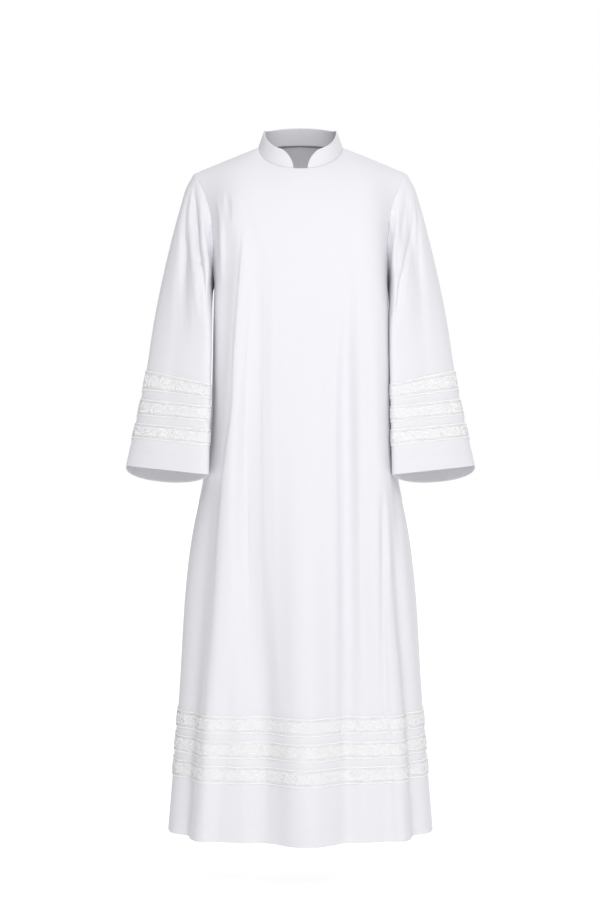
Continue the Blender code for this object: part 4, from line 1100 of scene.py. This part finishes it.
def stitches(name, runs, carrier, half=STITCH_HALF, radius=STITCH_RADIUS):
    """Rows of stitches as one piece: each is a short rounded ridge of thread, sunk a little into the cloth."""
    points, faces = [], []
    for places, ways, normals in runs:
        for place, way, normal in zip(places, ways, normals):
            side, base = np.cross(normal, way), len(points)
            for reach, size in STITCH_RINGS:
                for turn in STITCH_TURNS:
                    rim = side * math.cos(turn) + normal * math.sin(turn)
                    points.append(place + way * reach * half + rim * size * radius)
            count = len(STITCH_TURNS)
            for ring in range(len(STITCH_RINGS) - 1):
                for k in range(count - 1):
                    a = base + ring * count + k
                    faces.append((a, a + 1, a + count + 1, a + count))
            last = base + (len(STITCH_RINGS) - 1) * count
            faces.append(tuple(base + k for k in range(count))[::-1])
            faces.append(tuple(last + k for k in range(count)))
    piece_of(new_object(name, points, faces, stitch_thread), "white_cloth", carrier=carrier)


def line_up(cloth, distance):
    """Points and normals up a panel at a distance from its centre-back edge."""
    outer, across = cloth.outer(), cloth.across
    from_edge = across if cloth.name.endswith("left") else across[:, -1:] - across
    rows = []
    for row in range(len(outer)):
        order = np.argsort(from_edge[row])
        rows.append([
            [np.interp(distance, from_edge[row][order], grid[row, order, k]) for k in range(3)]
            for grid in (outer, cloth.normals)
        ])
    return np.array(rows)[:, 0], np.array(rows)[:, 1]


def line_round(cloth, up, first=0):
    """Points and normals round a piece of cloth at a distance up from its edge, or down from its top below 0."""
    outer, height = cloth.outer(), cloth.up
    rows = []
    for c in range(first, outer.shape[1]):
        level = up if up > 0 else height[-1, c] + up
        rows.append([
            [np.interp(level, height[:, c], grid[:, c, k]) for k in range(3)] for grid in (outer, cloth.normals)
        ])
    return np.array(rows)[:, 0], np.array(rows)[:, 1]


stitch_thread = thread_material("stitch_thread", (0.74, 0.74, 0.77))
stitches("stitch_hem_front", [stitch_run(*line_round(named["alb_front"], HEM_STITCH))], "alb_front")
for side in ("left", "right"):
    back, collar, sleeve = (named[f"alb_{kind}_{side}"] for kind in ("back", "collar", "sleeve"))
    slit, slit_normals = line_up(back, SLIT_STITCH)
    above = slit[:, 2] > SLIT_LOW
    stitches(f"stitch_back_{side}", [
        stitch_run(*line_round(back, HEM_STITCH)),
        stitch_run(slit[above], slit_normals[above], end=0.002),
    ], f"alb_back_{side}")
    loop_points, loop_normals = line_round(sleeve, CUFF_STITCH)
    stitches(f"stitch_cuff_{side}", [stitch_run(
        np.concatenate([loop_points, loop_points[:1]]), np.concatenate([loop_normals, loop_normals[:1]])
    )], f"alb_sleeve_{side}")
    first = int(np.argmax(collar.up[-1] > 2.4 * COLLAR_STITCH))
    stitches(f"stitch_collar_{side}", [
        stitch_run(*line_round(collar, -COLLAR_STITCH, first), end=0.0035),
        stitch_run(*line_round(collar, COLLAR_STITCH, first), end=0.0035),
    ], f"alb_collar_{side}")

# A bar tack across the foot of the slit
tack_points = line_up(named["alb_back_left"], 0.0004)[0]
foot = int(np.argmin(np.abs(tack_points[:, 2] - SLIT_LOW)))
tack = np.array([[(k - 4) * TACK_PITCH, tack_points[foot, 1] + 0.00015, SLIT_LOW] for k in range(9)])
stitches("stitch_bar_tack", [(tack, np.tile([0.0, 0, 1], (9, 1)), np.tile([0.0, 1, 0], (9, 1)))],
         "alb_back_left", half=TACK_HALF, radius=TACK_RADIUS)


def turned_body(name, profile, sides, place, axis, material):
    """A turned form: (radius, height) points from its back's middle round to its front's middle."""
    axis = unit(np.array(axis, float))
    across = unit(np.cross(axis, [0.0, 0, 1]))
    other = np.cross(axis, across)
    points, faces = [place + axis * profile[0][1]], []
    for radius, height in profile[1:-1]:
        for k in range(sides):
            turn = 2 * math.pi * k / sides
            points.append(place + axis * height + (across * math.cos(turn) + other * math.sin(turn)) * radius)
    points.append(place + axis * profile[-1][1])
    last = len(points) - 1
    for k in range(sides):
        n = (k + 1) % sides
        faces.append((0, 1 + n, 1 + k))
        for ring in range(len(profile) - 3):
            a = 1 + ring * sides
            faces.append((a + k, a + n, a + sides + n, a + sides + k))
        a = 1 + (len(profile) - 3) * sides
        faces.append((a + k, a + n, last))
    return new_object(name, points, faces, material)


def tube(name, line, radius, material, sides=8):
    """A round thread along a line of points."""
    line = np.asarray(line, float)
    way = unit(np.gradient(line, axis=0))
    side = unit(np.cross(way, [0.0, 1, 0]) + 1e-9)
    other = np.cross(way, side)
    turns = [2 * math.pi * k / sides for k in range(sides)]
    points = [p + (s * math.cos(t) + o * math.sin(t)) * radius for p, s, o in zip(line, side, other) for t in turns]
    faces = []
    for ring in range(len(line) - 1):
        for k in range(sides):
            a, b = ring * sides + k, ring * sides + (k + 1) % sides
            faces.append((a, a + sides, b + sides, b))
    faces += [tuple(range(sides)), tuple(len(points) - 1 - k for k in range(sides))]
    return new_object(name, points, faces, material)


button_plastic = new_material("button_plastic", (0.86, 0.85, 0.83), 0.28, specular=0.5)
collar_row = round(2 / 3 * COLLAR_STEPS)
last, before = collar_left_grid[collar_row, -1], collar_left_grid[collar_row, -2]
rise = unit(collar_left_grid[collar_row + 1, -1] - collar_left_grid[collar_row - 1, -1])
button_axis = unit(np.cross(rise, unit(last - before)))
button_axis = button_axis * np.sign(button_axis[1])
button_place = last + unit(before - last) * BUTTON_FROM_CENTRE + button_axis * (COLLAR_CLOTH / 2 + 2 * SEAM_GAP)
r, t = BUTTON_RADIUS, BUTTON_THICK
button = turned_body("button_disc", [
    (0, 0), (0.55 * r, 0), (0.86 * r, 0.02 * t), (0.95 * r, 0.12 * t), (0.995 * r, 0.34 * t), (r, 0.5 * t),
    (0.99 * r, 0.7 * t), (0.95 * r, 0.9 * t), (0.88 * r, t), (0.80 * r, 0.98 * t), (0.72 * r, 0.86 * t),
    (0.64 * r, 0.70 * t), (0.56 * r, 0.62 * t), (0.3 * r, 0.60 * t), (0, 0.60 * t),
], 40, button_place, button_axis, button_plastic)
hole_side = unit(np.cross(button_axis, rise))
hole_places = [(a, b) for a in (-1, 1) for b in (-1, 1)]
drills = [
    turned_body(f"drill_{k}", [(0, -0.001), (HOLE_RADIUS, -0.001), (HOLE_RADIUS, 0.004), (0, 0.004)], 14,
                button_place + (hole_side * a + rise * b) * BUTTON_HOLES, button_axis, button_plastic)
    for k, (a, b) in enumerate(hole_places)
]
for drill in drills:
    cut = button.modifiers.new("hole", "BOOLEAN")
    cut.operation, cut.object, cut.solver = "DIFFERENCE", drill, "EXACT"
bpy.context.view_layer.update()
drilled = bpy.data.meshes.new_from_object(button.evaluated_get(bpy.context.evaluated_depsgraph_get()))
button.modifiers.clear()
button.data = drilled
for drill in drills:
    bpy.data.objects.remove(drill)
piece_of(button, "button", "collar_button")
for k in (-1, 1):  # the thread through the four holes, and the shank under them
    low, high = (button_place + (hole_side * k + rise * b) * BUTTON_HOLES for b in (-1, 1))
    lift = button_axis * 0.60 * t
    thread = tube(f"button_thread_{(k + 1) // 2}", [
        low - button_axis * 0.0004, low + lift * 0.9, low + lift + rise * 0.0002 + button_axis * 0.0002,
        (low + high) / 2 + lift + button_axis * 0.0003,
        high + lift - rise * 0.0002 + button_axis * 0.0002, high + lift * 0.9, high - button_axis * 0.0004,
    ], BUTTON_THREAD, stitch_thread)
    piece_of(thread, "white_cloth", carrier="alb_collar_left")
shank = turned_body("button_shank", [(0, -0.0009), (0.0013, -0.0009), (0.0011, 0.0001), (0, 0.0001)], 16,
                    button_place, button_axis, stitch_thread)
piece_of(shank, "white_cloth", carrier="alb_collar_left")
along = -hole_side * np.sign(hole_side[0])  # toward the right half
under = button_place - button_axis * 0.00012
loop_line = [under + along * (BUTTON_FROM_CENTRE + 0.0022) + rise * 0.0026 - button_axis * 0.0007]
loop_line += [under + along * x + rise * LOOP_HALF for x in (BUTTON_FROM_CENTRE + 0.0012, 0.0066, 0.0044, 0.0022)]
loop_line += [
    under + along * 0.0022 * math.cos(a) * (0.4 if math.cos(a) > 0 else 1) + rise * LOOP_HALF * math.sin(a)
    for a in np.linspace(math.pi / 2, 3 * math.pi / 2, 9)
]
loop_line += [under + along * x - rise * LOOP_HALF for x in (0.0022, 0.0044, 0.0066, BUTTON_FROM_CENTRE + 0.0012)]
loop_line.append(under + along * (BUTTON_FROM_CENTRE + 0.0022) - rise * 0.0026 - button_axis * 0.0007)
piece_of(tube("button_loop", loop_line, LOOP_THREAD, stitch_thread), "white_cloth", carrier="alb_collar_right")

# ---------------------------------------------------------------- floor, light and camera

FLOOR_Z, FLOOR_HALF = -1.535, 30.0
# A studio of white cloth walls round the robe, lit unevenly, that the camera stands outside of
TENT_HALF_WIDTH, TENT_HALF_DEPTH, TENT_LOW, TENT_HIGH = 6.0, 8.0, -1.8, 5.0
TENT_LEFT, TENT_RIGHT, TENT_FRONT, TENT_BACK, TENT_TOP = 0.17, 0.32, 0.45, 0.55, 0.84  # each side's light


def level_sheet(half_width, half_depth, z):
    return [(x * half_width, y * half_depth, z) for x, y in ((-1, -1), (1, -1), (1, 1), (-1, 1))]


def tent_side(name, strength, corners):
    """One side of the studio: a sheet that gives soft light and isn't seen."""
    sheet = new_material("tent_" + name, (0, 0, 0), 1.0, specular=0, glow=strength)
    obj = new_object("tent_" + name, corners, [(0, 1, 2, 3)], sheet)
    obj.visible_camera = False


def tent_wall(name, strength, start, end):
    (ax, ay), (bx, by) = start, end
    low, high = TENT_LOW, TENT_HIGH
    tent_side(name, strength, [(ax, ay, low), (bx, by, low), (bx, by, high), (ax, ay, high)])


pale = new_material("floor_pale", (0.35, 0.35, 0.35), 0.9, glow=0.84)
new_object("floor", level_sheet(FLOOR_HALF, FLOOR_HALF, FLOOR_Z), [(0, 1, 2, 3)], pale)
w, d = TENT_HALF_WIDTH, TENT_HALF_DEPTH
tent_wall("left", TENT_LEFT, (-w, -d), (-w, d))
tent_wall("right", TENT_RIGHT, (w, d), (w, -d))
tent_wall("front", TENT_FRONT, (w, -d), (-w, -d))
tent_wall("back", TENT_BACK, (-w, d), (w, d))
tent_side("top", TENT_TOP, level_sheet(w, d, TENT_HIGH))

world = bpy.data.worlds.new("studio")
world.use_nodes = True
backdrop = world.node_tree.nodes["Background"]
backdrop.inputs["Color"].default_value = (1.0, 1.0, 1.0, 1)
backdrop.inputs["Strength"].default_value = 1.0
bpy.context.scene.world = world


def area_light(name, place, aim, size, energy, colour=(1, 1, 1)):
    data = bpy.data.lights.new(name, "AREA")
    data.size, data.energy, data.color = size, energy, colour
    lamp = bpy.data.objects.new(name, data)
    lamp.location = place
    lamp.rotation_euler = (Vector(aim) - Vector(place)).to_track_quat("-Z", "Y").to_euler()
    bpy.context.scene.collection.objects.link(lamp)


area_light("key", (0.5, -3.9, 1.5), (0, 0, -0.7), 1.6, 90)
area_light("behind", (1.9, 3.6, 1.3), (0, 0, -0.7), 1.6, 42)

camera_data = bpy.data.cameras.new("camera")
camera_data.lens, camera_data.sensor_width = 76.32, 36
camera = bpy.data.objects.new("camera", camera_data)
camera.location = (-0.001, -4.0, -0.633)
camera.rotation_euler = (math.pi / 2, 0, 0)
bpy.context.scene.collection.objects.link(camera)
bpy.context.scene.camera = camera
bpy.context.scene.view_settings.view_transform = "Standard"
